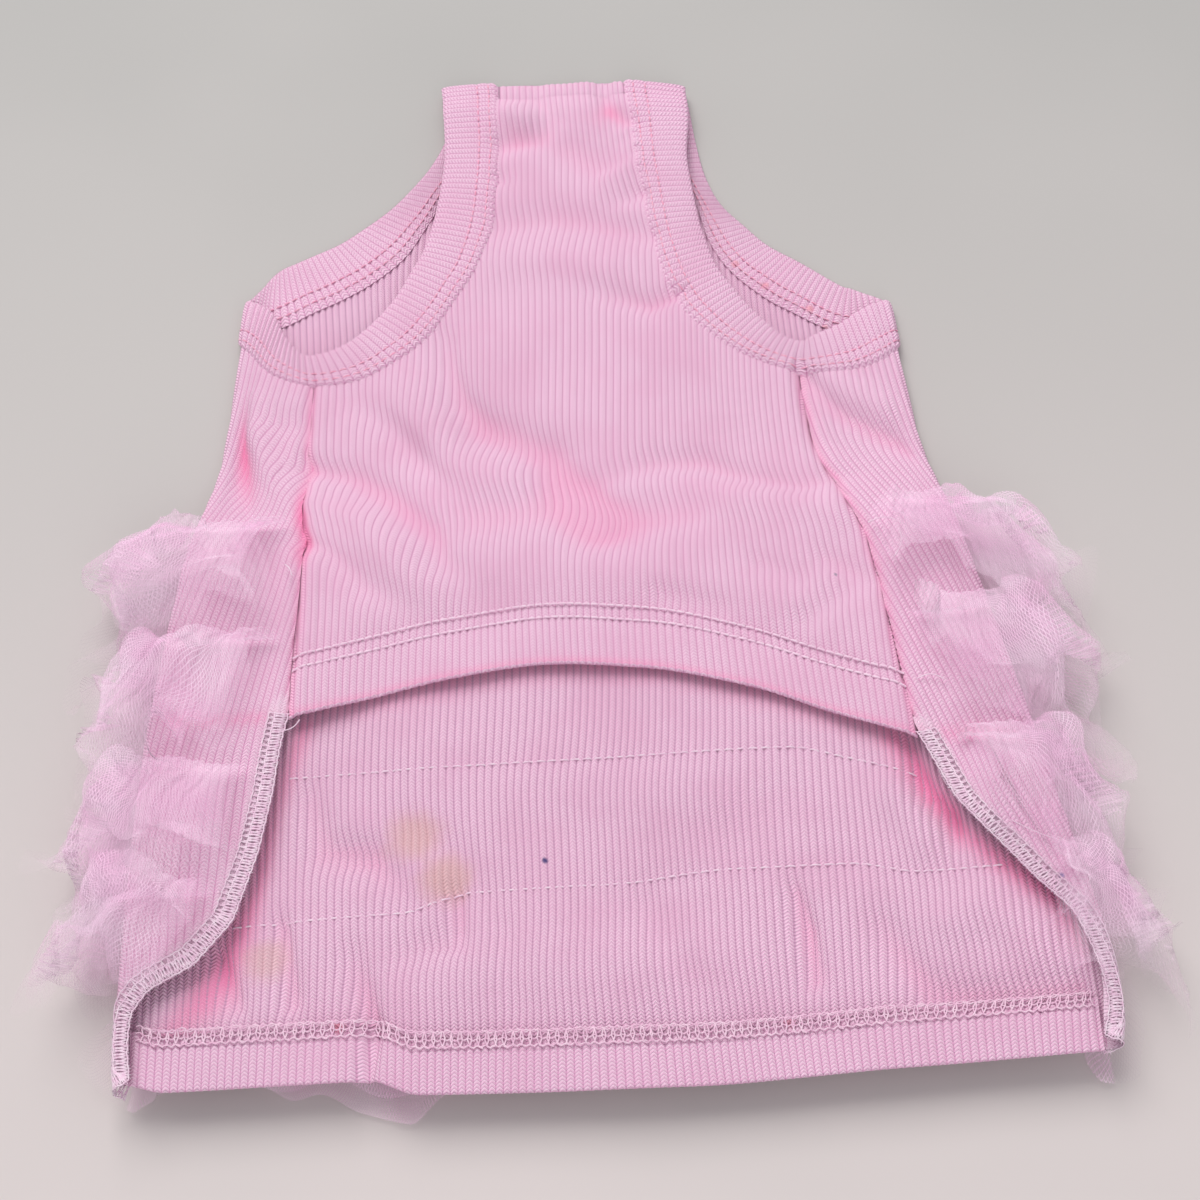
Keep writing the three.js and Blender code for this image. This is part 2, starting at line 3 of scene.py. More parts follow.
import bpy
import numpy as np
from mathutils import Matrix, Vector


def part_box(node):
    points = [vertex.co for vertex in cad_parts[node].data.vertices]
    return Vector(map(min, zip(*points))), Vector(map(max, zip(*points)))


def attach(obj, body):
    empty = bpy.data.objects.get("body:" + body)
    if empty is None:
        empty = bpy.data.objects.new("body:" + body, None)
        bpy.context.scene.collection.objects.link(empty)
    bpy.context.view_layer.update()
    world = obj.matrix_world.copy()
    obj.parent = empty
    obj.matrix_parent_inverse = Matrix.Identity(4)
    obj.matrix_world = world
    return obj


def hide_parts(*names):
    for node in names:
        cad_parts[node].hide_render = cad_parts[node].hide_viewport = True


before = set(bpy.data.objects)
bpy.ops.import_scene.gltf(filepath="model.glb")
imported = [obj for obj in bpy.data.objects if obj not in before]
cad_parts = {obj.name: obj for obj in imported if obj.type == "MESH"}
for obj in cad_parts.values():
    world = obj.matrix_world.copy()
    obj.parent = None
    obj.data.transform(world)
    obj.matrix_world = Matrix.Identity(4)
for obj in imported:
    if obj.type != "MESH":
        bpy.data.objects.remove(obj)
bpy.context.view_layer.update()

# Garment coordinates are millimetres: X across, Y from the back hem to the neck, Z up.
MM = 0.001
NECK_Y = 325
BELLY_LEFT = 83.8
belly_low, belly_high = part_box("belly_panel")
SHIFT = np.array([belly_low[0] / MM + BELLY_LEFT, belly_high[1] / MM - NECK_Y, 0])

# Knit: rib pitches, half the height of a rib and the length of a stitch
RIB = 2.0
BAND_RIB = 2.1
RIB_DEPTH = 0.27
STITCH = 0.95

# Folds: how high, wide and far aside the creases below are drawn, and the faint swells between them
FOLD_GAIN = 2.2
FOLD_WIDTH = 0.85
FOLD_SWAY = 1.6
SWELL_HEIGHT = 0.22
SWAY_WIDTH = 1.1
FOLD_FADE = 5
SWAY_FADE = 8

# Painted shade: a deeper pink painted into folds, at the belly hem and along the side seams
UPPER_FOLD_SHADE = 0.3
LOWER_FOLD_SHADE = 0.35
EDGE_SHADE = 0.4
SEAM_SHADE = 0.32
NEAR_HEM_SHADE = 0.4

# Hems, seams and edges
COLUMN = 0.5
BAND_LAP = 0.1
BACK_HEM = 13
BELLY_HEM = 16
BELLY_HEM_DROP = 2.2
BELLY_HEM_THICK = 0.45
BELLY_HEM_ROWS = (14, 18)
HEM_FOLD = 0.6
HEM_CORNER = 122
HEM_STITCH = 10.9
SEAM_TOP = 218
SEAM_FADE = 6
OVERLOCK = 5.6
OVERLOCK_PALE = 7.2
NECK_BAND = 7
NECK_FALL = 1.5
LOWEST = 0.05

# Sides of a sewing thread, and mm of cloth to one unit of its coordinates
THREAD_SIDES = 4
UV_MM = 100

# Net: distance between its threads, how solid they are and how solid the holes are
NET_PITCH = 1.3
NET_LINES = 0.57
NET_HAZE = 0.13

# How the garment lies. Columns: y, height of the lower layer, rise to the upper layer, its crown,
# and x of the left and right side folds
LIE = [
    (-4, 9.8, 4.4, 0.3, 123.5, 125),
    (14, 9.8, 4.4, 0.3, 125, 128),
    (75, 9.8, 4.6, 0.5, 123.5, 119.5),
    (150, 7.8, 4.6, 1, 115.3, 106.5),
    (190, 0.8, 3.7, 1.5, 107, 99.5),
    (235, 0.8, 3.7, 1.5, 103, 96.5),
    (262, 0.8, 3.7, 1.5, 101.5, 95.5),
    (317, 0.8, 3.9, 1.9, 101.5, 95.5),
    (325, 0.8, 3.2, 0.9, 101.5, 95.5),
]

# Side seams and cut edges, as distances from the middle, and the lines of both hems. Columns: x, y
LEFT_SEAM = [(79.5, 214), (80.2, 190), (82, 150), (84.4, 101)]
RIGHT_SEAM = [(67, 212), (69, 190), (78.3, 150), (84.8, 88)]
LEFT_CUT = [(85, 92), (88.5, 78), (91.5, 62), (97, 43), (106, 32), (117, 26)]
RIGHT_CUT = [(86.5, 80), (93, 68), (102, 57), (111, 45), (119, 36)]
BACK_HEM_LINE = [(-122, 4), (-112, 1.5), (-62, 2), (-49, -2), (20, -3), (70, -1), (122, 1)]
BELLY_HEM_LINE = [
    (-84.4, 100), (-69, 104), (-40, 111), (-12, 114), (15, 112), (41, 105), (67, 94), (84.8, 87),
]
# Columns: x, y, end x, end y, how far it bows aside
LOOSE_THREADS = [
    (-85.8, 146.7, -83.7, 142.5, 0.1), (-80.5, 98.6, -85.3, 95.0, 0.15), (79, 152.5, 88.2, 151.4, 0.2),
    (87.6, 150.5, 85, 140.8, 0.12), (86.8, 103, 94.1, 102, 0.2), (104.4, 62.4, 131.8, 51.9, -0.08),
    (117.9, 55.6, 119.4, 53.3, 0.2),
]
LOOSE_HEIGHT = 15.5

# The two rows of stitching that show below the belly panel. Columns: x, y
LINE_A = [(-82, 84), (-40, 85.5), (0, 86), (51, 87), (67, 83), (86, 77)]
LINE_B = [(-97, 43), (-80, 44), (-54, 45), (-36, 50), (-2, 50), (37, 53), (64, 53), (82, 50), (106, 51)]

# Armhole bands, by the layer they lie on. Columns: sewn x, sewn y, free x, free y
LEFT_BAND = [
    ("upper", [
        (24, 331.4, 41, 330.6), (24.1, 313, 41, 313), (24.6, 295, 41.3, 296), (26, 273, 43.5, 277),
        (30, 257, 47, 263), (36, 246, 51, 255), (44, 234, 57, 244), (53, 224, 64, 235),
        (62, 217.5, 70, 229.5), (71, 214.5, 76, 226.5), (79.5, 214, 81.5, 225.5), (85, 215.5, 85, 228),
        (92, 219, 89, 234), (98.5, 225, 93.5, 243),
    ]),
    ("fold", [(103, 231, 99, 248)]),
    ("lower", [
        (97, 236, 94, 257.5), (88, 240, 90, 261), (81, 244, 86, 263), (71, 249, 79.5, 266.3),
        (62, 255, 73, 269.8), (53, 264, 67, 274.5), (47, 276, 59, 282), (42, 288, 52.5, 290.5),
        (36, 299, 46.5, 300), (29, 311, 42, 311), (24, 325, 41, 325),
    ]),
]
RIGHT_BAND = [
    ("upper", [
        (20, 331, 40, 327), (20.1, 313, 39.5, 312), (20.4, 295, 37, 295), (21, 271, 37.5, 273),
        (23, 257, 39.5, 262), (26.5, 245, 42.5, 252), (31, 236, 46.5, 245.5), (38, 228.5, 51, 239),
        (48, 221, 57.5, 231.5), (58, 215.5, 63.5, 225.5), (67, 212, 69, 223), (74, 211.5, 72, 225),
        (84, 212.5, 80, 229.5), (92, 216, 87, 235),
    ]),
    ("fold", [(97, 221, 93, 239)]),
    ("lower", [
        (90, 226, 89, 244), (84, 228.5, 86.5, 245.5), (78, 231, 84, 246.5), (69, 237, 77.5, 251.5),
        (60, 243, 71, 256.5), (49, 254, 62, 263), (42, 266, 55, 270), (38, 280, 46, 280),
        (33.5, 292, 41.5, 292), (27, 306, 40, 306), (20, 325, 40, 322),
    ]),
]

# Where the straps end at the bands, as distances from the middle
STRAP_LEFT = 24
STRAP_RIGHT = 20

# Creases of the upper layer, each a line of (x, y, height, width): below 0 is a trough
UPPER_CREASES = [
    [(-42, 228, -0.6, 5), (-41, 217, -1.0, 5), (-38, 206, -1.4, 6), (-31, 197, -1.6, 7),
     (-19, 191, -1.4, 8), (-10, 184, -1.6, 9), (-5, 171, -1.9, 10), (3, 157, -1.7, 10), (9, 151, -0.6, 8)],
    [(-58, 222, 0.2, 7), (-50, 200, 0.9, 8), (-38, 184, 1.0, 8), (-22, 176, 0.5, 8)],
    [(-69, 208, -0.3, 4), (-57, 197, -0.9, 5), (-49, 186, -0.9, 5), (-41, 175, -0.3, 5)],
    [(-81, 185, -1.2, 4), (-69, 181, -1.3, 5), (-60, 173, -1.4, 6), (-48, 158, -1.3, 6),
     (-43, 147, -1.0, 6), (-33, 137, -0.3, 6)],
    [(-78, 170, 0.6, 5), (-66, 163, 1.0, 6), (-54, 145, 0.8, 6), (-46, 135, 0.2, 6)],
    [(-82, 157, -1.0, 4), (-74, 151, -0.9, 4), (-65, 140, -0.8, 5), (-53, 133, -0.2, 5)],
    [(-34, 162, -1.0, 11), (-11, 166, -1.2, 11), (15, 160, -1.3, 10), (29, 161, -1.0, 9)],
    [(1, 174, -0.4, 5), (19, 181, -0.9, 5), (34, 181, -1.0, 5), (45, 175, -1.0, 5),
     (62, 170, -0.9, 4.5), (77, 174, -0.5, 4)],
    [(36, 168, 0.2, 7), (44, 165, 0.8, 8), (58, 163, 1.0, 8), (70, 160, 0.8, 7)],
    [(-19, 316, 1.3, 5.5), (-16, 314, 1.2, 5.5)],
    [(-22, 326, -0.6, 3), (-12, 324, -0.7, 4), (-7, 314, -0.8, 5), (-12, 306, -0.9, 5),
     (-23, 304, -1.0, 4.5)],
    [(11, 328, -1.0, 4), (12, 318, -1.2, 4), (22, 310, -0.6, 4)],
    [(-3, 301, -0.8, 8), (6, 293, -0.7, 8)],
    [(9, 288, 0.7, 4), (20, 294, 0.7, 4)],
    [(8, 278, -0.3, 3), (19, 282, -0.9, 3)],
    [(-24, 290, -0.7, 3), (-20, 291, -0.3, 3)],
    [(13, 304, 0.2, 2), (20, 309, 0.6, 2)],
    [(13, 298, 0.2, 2), (20, 302, 0.6, 2)],
    [(-23, 272, -0.7, 6), (-7, 274, -0.8, 7), (8, 270, -0.8, 6), (20, 265, -0.7, 5)],
    [(-22, 257, 0.4, 7), (-4, 257, 0.6, 7), (10, 253, 0.5, 6)],
    [(2, 245, -0.4, 4), (19, 239, -1.0, 4), (29, 243, -0.9, 3)],
    [(68, 212, -0.8, 3), (77, 197, -1.2, 4), (88, 188, -1.3, 4), (99, 180, -0.9, 4)],
    [(78, 207, 0.5, 5), (92, 198, 0.8, 5)],
    [(69, 208, -0.4, 3), (70, 198, -0.8, 3), (74, 183, -0.5, 3)],
    [(48, 142, -0.5, 4), (59, 137, -0.5, 4)],
    [(66, 143, -0.7, 4), (77, 135, -0.5, 4)],
    [(59, 124, -0.5, 4), (70, 132, -0.6, 4)],
    [(20, 134, -0.5, 4), (36, 129, -0.4, 4)],
    [(-106, 214, -0.3, 4), (-104, 200, -1.2, 5), (-101, 186, -1.3, 5), (-98, 170, -0.5, 4)],
    [(-97, 210, 0.2, 4), (-94, 197, 1.0, 4), (-90, 184, 1.1, 4.5), (-86, 170, 0.3, 4)],
    [(-99, 205, -0.3, 4), (-84, 200, -0.6, 4)],
    [(103, 82, 0.4, 6), (107, 72, 1.6, 7), (104, 62, 0.9, 6)],
    [(-104, 90, 0.6, 7), (-110, 66, 1.0, 8), (-113, 50, 0.5, 7)],
]

# Painted shade on the upper layer: lines of (x, y, strength, width)
UPPER_SHADE = [
    [(-104, 212, 0.1, 3), (-103, 202, 0.7, 3.5), (-100, 190, 0.8, 4), (-97, 176, 0.2, 4)],
    [(-81, 178, 0.1, 2), (-82, 165, 0.8, 2.5), (-83, 150, 0.4, 2.5)],
    [(-22, 311, 0.05, 4), (-18, 306, 0.25, 4), (-10, 307, 0.1, 4)],
    [(9, 313, 0.1, 4), (13, 317, 0.45, 4), (17, 312, 0.1, 4)],
]

# Painted shade on the lower layer
LOWER_SHADE = [
    [(-112, 16, 0.4, 4), (-104, 24, 0.8, 6), (-97, 36, 0.9, 5), (-91, 52, 0.7, 3),
     (-86, 76, 0.5, 3), (-80, 98, 0.6, 4)],
    [(80, 88, 0.7, 5), (87, 74, 0.9, 5), (94, 62, 0.8, 4), (106, 50, 0.9, 4),
     (117, 39, 0.9, 4), (121, 28, 0.4, 4)],
    [(-45, 292, 0.4, 4), (-38, 300, 0.7, 4), (-33, 308, 0.5, 4)],
]

# Creases of the lower layer, seen below the belly panel
LOWER_CREASES = [
    [(-78, 78, -0.6, 5), (-74, 63, -1.0, 6), (-62, 60, -1.2, 6), (-54, 50, -0.5, 6)],
    [(-51, 68, -0.4, 6), (-41, 62, -0.5, 6), (-33, 50, -0.3, 6)],
    [(-40, 48, -0.8, 4), (-40, 37, -0.9, 4), (-53, 34, -0.5, 5)],
    [(50, 46, -0.8, 3), (52, 35, -1.3, 3.5), (53, 23, -0.9, 4)],
    [(-85, 43, -0.8, 3), (-82, 23, -0.9, 4)],
    [(-101, 36, -0.8, 3), (-96, 23, -0.8, 4)],
    [(70, 35, -0.6, 5), (80, 18, -1.0, 5), (98, 16, -1.1, 4), (117, 17, -1.0, 4)],
    [(88, 36, 0.8, 8), (98, 40, 1.0, 8), (108, 30, 0.8, 7)],
    [(-63, 1, -1.0, 2.5), (-61, 15, -1.2, 3), (-67, 33, -0.6, 5)],
    [(-28, 39, -0.4, 5), (-24, 20, -0.4, 6)],
    [(11, 45, -0.3, 5), (22, 23, -0.4, 6)],
    [(83, 88, -0.8, 4), (86, 73, -1.6, 4), (92, 66, -1.6, 4), (92, 58, -0.8, 4)],
    [(77, 72, 0.7, 6), (84, 58, 0.6, 6)],
    [(-50, 25, 0.5, 12), (0, 28, 0.7, 14), (34, 30, 0.5, 12)],
    [(-20, 78, 0.4, 12), (30, 74, 0.5, 12)],
]


def spread(*values):
    """Arrays of numbers, all brought to one shape."""
    return np.broadcast_arrays(*(np.asarray(value, float) for value in values))


def lengths(points):
    """How far along a line each of its points lies."""
    return np.concatenate([[0], np.cumsum(np.linalg.norm(np.diff(points, axis=0), axis=1))])


def ease(t):
    """0 below 0, 1 above 1, smooth between."""
    t = np.clip(t, 0, 1)
    return t * t * (3 - 2 * t)


def hill(off, width):
    """1 at 0, falling smoothly to nothing at about twice the width."""
    return np.exp(-((off / width) ** 2))


def smooth(rows, key=1, by=0):
    """Reads one column of a table at any values of another, along a curve that doesn't overshoot."""
    rows = sorted(rows, key=lambda row: row[by])
    xs = np.array([row[by] for row in rows], float)
    ys = np.array([row[key] for row in rows], float)
    step = np.diff(xs)
    rate = np.diff(ys) / step
    slope = np.concatenate([rate[:1], np.zeros(len(xs) - 2), rate[-1:]])
    for i in range(1, len(xs) - 1):
        if rate[i - 1] * rate[i] > 0:
            slope[i] = 2 * rate[i - 1] * rate[i] / (rate[i - 1] + rate[i])

    def read(at):
        at = np.clip(np.asarray(at, float), xs[0], xs[-1])
        i = np.clip(np.searchsorted(xs, at, side="right") - 1, 0, len(step) - 1)
        t = (at - xs[i]) / step[i]
        bend = t * (1 - t) * step[i]
        line = ys[i] + (ys[i + 1] - ys[i]) * t
        return line + bend * ((slope[i] - rate[i]) * (1 - t) - (slope[i + 1] - rate[i]) * t)

    return read


under, rise, crown, left_fold, right_fold = (smooth(LIE, k) for k in range(1, 6))
back_hem = smooth(BACK_HEM_LINE)
belly_hem = smooth(BELLY_HEM_LINE)
line_a = smooth(LINE_A)
line_b = smooth(LINE_B)
seam_x = {-1: smooth(LEFT_SEAM, 0, 1), 1: smooth(RIGHT_SEAM, 0, 1)}


def relief(creases, x, y):
    """The height of soft creases at points of a layer."""
    total = np.zeros(np.shape(x))
    for line in creases:
        line = np.array(line, float)
        best = np.full(np.shape(x), np.inf)
        height = np.zeros(np.shape(x))
        width = np.ones(np.shape(x))
        for a, b in zip(line[:-1], line[1:]):
            way = b[:2] - a[:2]
            t = np.clip(((x - a[0]) * way[0] + (y - a[1]) * way[1]) / (way @ way), 0, 1)
            far = np.hypot(x - a[0] - t * way[0], y - a[1] - t * way[1])
            near = far < best
            best = np.where(near, far, best)
            height = np.where(near, a[2] + (b[2] - a[2]) * t, height)
            width = np.where(near, a[3] + (b[3] - a[3]) * t, width)
        total += height * hill(best, width * FOLD_WIDTH)
    return total


class Crumple:
    """A smooth random field, the same on each run."""

    def __init__(self, seed, shortest, longest, waves=14):
        rng = np.random.default_rng(seed)
        way = rng.normal(size=(waves, 3))
        way /= np.linalg.norm(way, axis=1, keepdims=True)
        self.ways = way * 2 * math.pi / rng.uniform(shortest, longest, (waves, 1))
        self.phases = rng.uniform(0, 2 * math.pi, waves)

    def at(self, points):
        return np.sin(points @ self.ways.T + self.phases).sum(-1) / math.sqrt(len(self.phases) / 2)


SWELL = Crumple(51, 26, 70)
SWAY = Crumple(52, 45, 110)
UPPER_FIELD = 0.0
LOWER_SWELL_FIELD = 40.0
LOWER_SWAY_FIELD = 60.0


def field(crumple, x, y, layer):
    """A random field over one layer, where each layer cuts it at its own height."""
    return crumple.at(np.stack([x, y, np.full(np.shape(x), layer)], -1))


def upper_folds(x, y):
    """Creases and faint swells of the upper layer."""
    return FOLD_GAIN * relief(UPPER_CREASES, x, y) + SWELL_HEIGHT * field(SWELL, x, y, UPPER_FIELD)


def lower_folds(x, y):
    """Creases and faint swells of the lower layer."""
    return FOLD_GAIN * relief(LOWER_CREASES, x, y) + SWELL_HEIGHT * field(SWELL, x, y, LOWER_SWELL_FIELD)


def seam_at(x, y):
    """How far from the middle the side seam lies on the side of each point."""
    return np.where(x < 0, seam_x[-1](y), seam_x[1](y))


def upper_shade(x, y):
    """How strongly shade is painted into the upper layer's colour: in folds, at the belly hem's fold and
    along the seams.
    """
    folds = UPPER_FOLD_SHADE * ease((-upper_folds(x, y) - 0.8) / 3.5)
    edge = EDGE_SHADE * hill(y - belly_hem(x), 1.6)
    seam = SEAM_SHADE * hill(np.abs(x) - seam_at(x, y), 1.4) * ease((SEAM_TOP - y) / SEAM_FADE)
    return np.clip(folds + edge + seam + relief(UPPER_SHADE, x, y), 0, 1)


def lower_shade(x, y):
    """How strongly shade is painted into the lower layer's colour: in folds and in the shadow under the
    belly hem.
    """
    folds = LOWER_FOLD_SHADE * ease((-lower_folds(x, y) - 0.6) / 3.2)
    past = y - belly_hem(x)
    near = ease((past + 7) / 7) * ease((22 - past) / 8) * ease((84 - np.abs(x)) / 10)
    return np.clip(folds + NEAR_HEM_SHADE * near + relief(LOWER_SHADE, x, y), 0, 1)


def upper_sway(x, y):
    """How far the ribs of the upper layer lean to one side, less so at the neck."""
    calm = 1 - 0.65 * ease((y - 285) / 20)
    lean = FOLD_SWAY * calm * relief(UPPER_CREASES, x, y)
    return SWAY_WIDTH * field(SWAY, x, y, UPPER_FIELD) - lean


def lower_sway(x, y):
    """How far the ribs of the lower layer lean to one side."""
    lean = FOLD_SWAY * relief(LOWER_CREASES, x, y)
    return SWAY_WIDTH * field(SWAY, x, y, LOWER_SWAY_FIELD) - lean


def seam_dip(x, y):
    """How the cloth of the upper layer rolls down into the side seams."""
    off = np.abs(x) - seam_at(x, y)
    sewn = ease((SEAM_TOP - y) / SEAM_FADE) * ease((y - 80) / 10)
    return sewn * (0.6 * hill(np.abs(off) - 3.4, 2.2) - 0.75 * hill(off, 1.3))


def flat_to(y, side):
    """How far from the middle the lower layer runs flat, up to the side fold."""
    return np.where(np.asarray(side) < 0, left_fold(y), right_fold(y)) - rise(y) / 2


def along(x, y, side, layer):
    """The distance along the cloth from the middle of the back to a place on one layer."""
    flat = flat_to(y, side)
    turn = math.pi * rise(y) / 2
    if layer == "lower":
        return x
    return flat + turn / 2 if layer == "fold" else 2 * flat + turn - x


def upper_lift(x, y):
    """How far the upper layer stands above its plain height, never down to the lower one."""
    arch = crown(y) * np.maximum(0, 1 - (x / 84) ** 2)
    lift = arch + upper_folds(x, y) + seam_dip(x, y)
    least = 1.7 - rise(y)
    softness = 2.2
    return least + np.logaddexp(0, softness * (lift - least)) / softness


def stitched_down(x, y):
    """The shallow dents along the two rows of stitching that hold the tulle."""
    dent = np.zeros(np.shape(x))
    for line in (line_a, line_b):
        dent -= 0.35 * hill(y - line(x), 1.1)
    return dent * (np.abs(x) < 108)


def cloth(s, y, out=0.0):
    """Points of the back panel, s along the cloth from the middle of the back and out from it."""
    s, y, out = spread(s, y, out)
    side = np.where(s < 0, -1, 1)
    flat = flat_to(y, side)
    radius = rise(y) / 2
    reach = np.abs(s)
    turn = np.clip((reach - flat) / radius, 0, math.pi)
    past = np.maximum(reach - flat - turn * radius, 0)
    x = side * np.where(turn > 0, flat + (radius + out) * np.sin(turn) - past, reach)
    z = under(y) + radius - (radius + out) * np.cos(turn)
    z = z + ease(past / FOLD_FADE) * upper_lift(x, y)
    z = z + ease((flat - reach) / FOLD_FADE) * (lower_folds(x, y) + stitched_down(x, y))
    sway = ease(past / SWAY_FADE) * upper_sway(x, y)
    sway = sway + ease((flat - reach) / SWAY_FADE) * lower_sway(x, y)
    return np.stack([x + sway, y, z], -1)


def cloth_shade(s, y):
    """How strongly shade is painted into the back panel's colour, on both of its layers."""
    s, y = spread(s, y)
    side = np.where(s < 0, -1, 1)
    flat = flat_to(y, side)
    turn = math.pi * rise(y) / 2
    reach = np.abs(s)
    over = ease((reach - flat - turn) / FOLD_FADE)
    inner = ease((flat - reach) / FOLD_FADE)
    return over * upper_shade(side * (2 * flat + turn - reach), y) + inner * lower_shade(side * reach, y)


def belly(x, y, out=0.0):
    """Points of the belly panel, which sinks towards the middle of its hem."""
    x, y, out = spread(x, y, out)
    z = under(y) + rise(y) + upper_lift(x, y) + out
    near_hem = ease((32 - (y - belly_hem(x))) / 20)
    z = z - BELLY_HEM_DROP * near_hem * (1 - ease((np.abs(x) - 56) / 24))
    return np.stack([x + upper_sway(x, y), y, z], -1)


def ribs(u, pitch=RIB):
    """The height of the ribs across the cloth."""
    return RIB_DEPTH * np.cos(2 * math.pi * u / pitch)


def hem_profile(depth, rows):
    """A turned hem, from its raw edge round the fold: places along Y, depths behind the panel."""
    angles = np.linspace(math.pi, 0, 7)
    down = np.concatenate([np.linspace(depth, 0.5, rows), -HEM_FOLD * np.sin(angles)])
    behind = np.concatenate([np.full(rows, 2 * HEM_FOLD), HEM_FOLD * (1 - np.cos(angles))])
    return down, behind


class Build:
    """Collects grids and threads as one mesh."""

    def __init__(self):
        self.points, self.faces, self.uv, self.slots = [], [], [], []
        self.marks, self.shades, self.count = [], [], 0

    def add(self, points, faces, uv, slot, mark=0.0, shade=0.0):
        """Adds points and quads, with the cloth coordinates, mark and shade of each point."""
        self.points.append(points)
        self.faces.append(faces + self.count)
        self.uv.append(uv)
        self.slots.append(np.full(len(faces), slot))
        self.marks.append(np.broadcast_to(mark, len(points)))
        self.shades.append(np.broadcast_to(shade, len(points)))
        self.count += len(points)

    def grid(self, points, u, v, mark=0.0, shade=0.0, closed=False, cut=False):
        """A grid of points by column and row; u and v are its cloth coordinates in mm."""
        columns, rows = points.shape[:2]
        c = np.arange(columns if closed else columns - 1)[:, None]
        r = np.arange(rows - 1)[None, :]
        here = c * rows + r
        beside = (c + 1) % columns * rows + r
        quads = np.stack([here, beside, beside + 1, here + 1], -1).reshape(-1, 4)
        if cut:
            tall = np.ptp(points.reshape(-1, 3)[quads], axis=1).max(1)
            quads = quads[tall > 0.3 * np.median(tall)]
        whole = [np.broadcast_to(values, (columns, rows)) for values in (u, v, mark, shade)]
        uv = np.stack(whole[:2], -1).reshape(-1, 2)
        self.add(points.reshape(-1, 3), quads, uv, 0, whole[2].reshape(-1), whole[3].reshape(-1))

    def threads(self, paths, radius, slot=1):
        """Thin threads along many paths of the same number of points."""
        paths = np.asarray(paths, float)
        n, k = paths.shape[:2]
        way = np.gradient(paths, axis=1)
        way /= np.linalg.norm(way, axis=2, keepdims=True) + 1e-9
        up = np.where(np.abs(way[..., 2:3]) > 0.9, [1.0, 0, 0], [0, 0, 1.0])
        a = np.cross(way, up)
        a /= np.linalg.norm(a, axis=2, keepdims=True) + 1e-9
        b = np.cross(way, a)
        angle = np.arange(THREAD_SIDES) * 2 * math.pi / THREAD_SIDES
        ring = a[:, :, None] * np.cos(angle)[:, None] + b[:, :, None] * np.sin(angle)[:, None]
        points = paths[:, :, None] + ring * radius
        i, j, m = np.meshgrid(np.arange(n), np.arange(k - 1), np.arange(THREAD_SIDES), indexing="ij")
        at = (i * k + j) * THREAD_SIDES
        beside = at + (m + 1) % THREAD_SIDES
        quads = np.stack([at + m, beside, beside + THREAD_SIDES, at + m + THREAD_SIDES], -1)
        uv = np.zeros((n * k * THREAD_SIDES, 2))
        self.add(points.reshape(-1, 3), quads.reshape(-1, 4), uv, slot)

    def piece(self, name, materials, node, slot_name):
        """Makes the object, in metres, under the root body, and hides the CAD node that it replaces."""
        points = np.concatenate(self.points)
        points[:, 2] = np.maximum(points[:, 2], LOWEST)
        points = (points + SHIFT) * MM
        faces = np.concatenate(self.faces)
        mesh = bpy.data.meshes.new(name)
        mesh.vertices.add(len(points))
        mesh.vertices.foreach_set("co", points.astype(np.float32).ravel())
        mesh.loops.add(faces.size)
        mesh.loops.foreach_set("vertex_index", faces.astype(np.int32).ravel())
        mesh.polygons.add(len(faces))
        mesh.polygons.foreach_set("loop_start", np.arange(0, faces.size, 4, dtype=np.int32))
        mesh.polygons.foreach_set("material_index", np.concatenate(self.slots).astype(np.int32))
        mesh.update(calc_edges=True)
        mesh.polygons.foreach_set("use_smooth", np.ones(len(faces), bool))
        layer = mesh.uv_layers.new(name="cloth")
        uv = np.concatenate(self.uv)[faces.ravel()] / UV_MM
        layer.data.foreach_set("uv", uv.astype(np.float32).ravel())
        for kind, values in (("mark", self.marks), ("shade", self.shades)):
            attribute = mesh.attributes.new(kind, "FLOAT", "POINT")
            attribute.data.foreach_set("value", np.concatenate(values).astype(np.float32))
        mesh.validate()
        for material in materials:
            mesh.materials.append(material)
        obj = bpy.data.objects.new(name, mesh)
        bpy.context.scene.collection.objects.link(obj)
        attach(obj, "root")
        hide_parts(node)
        return obj


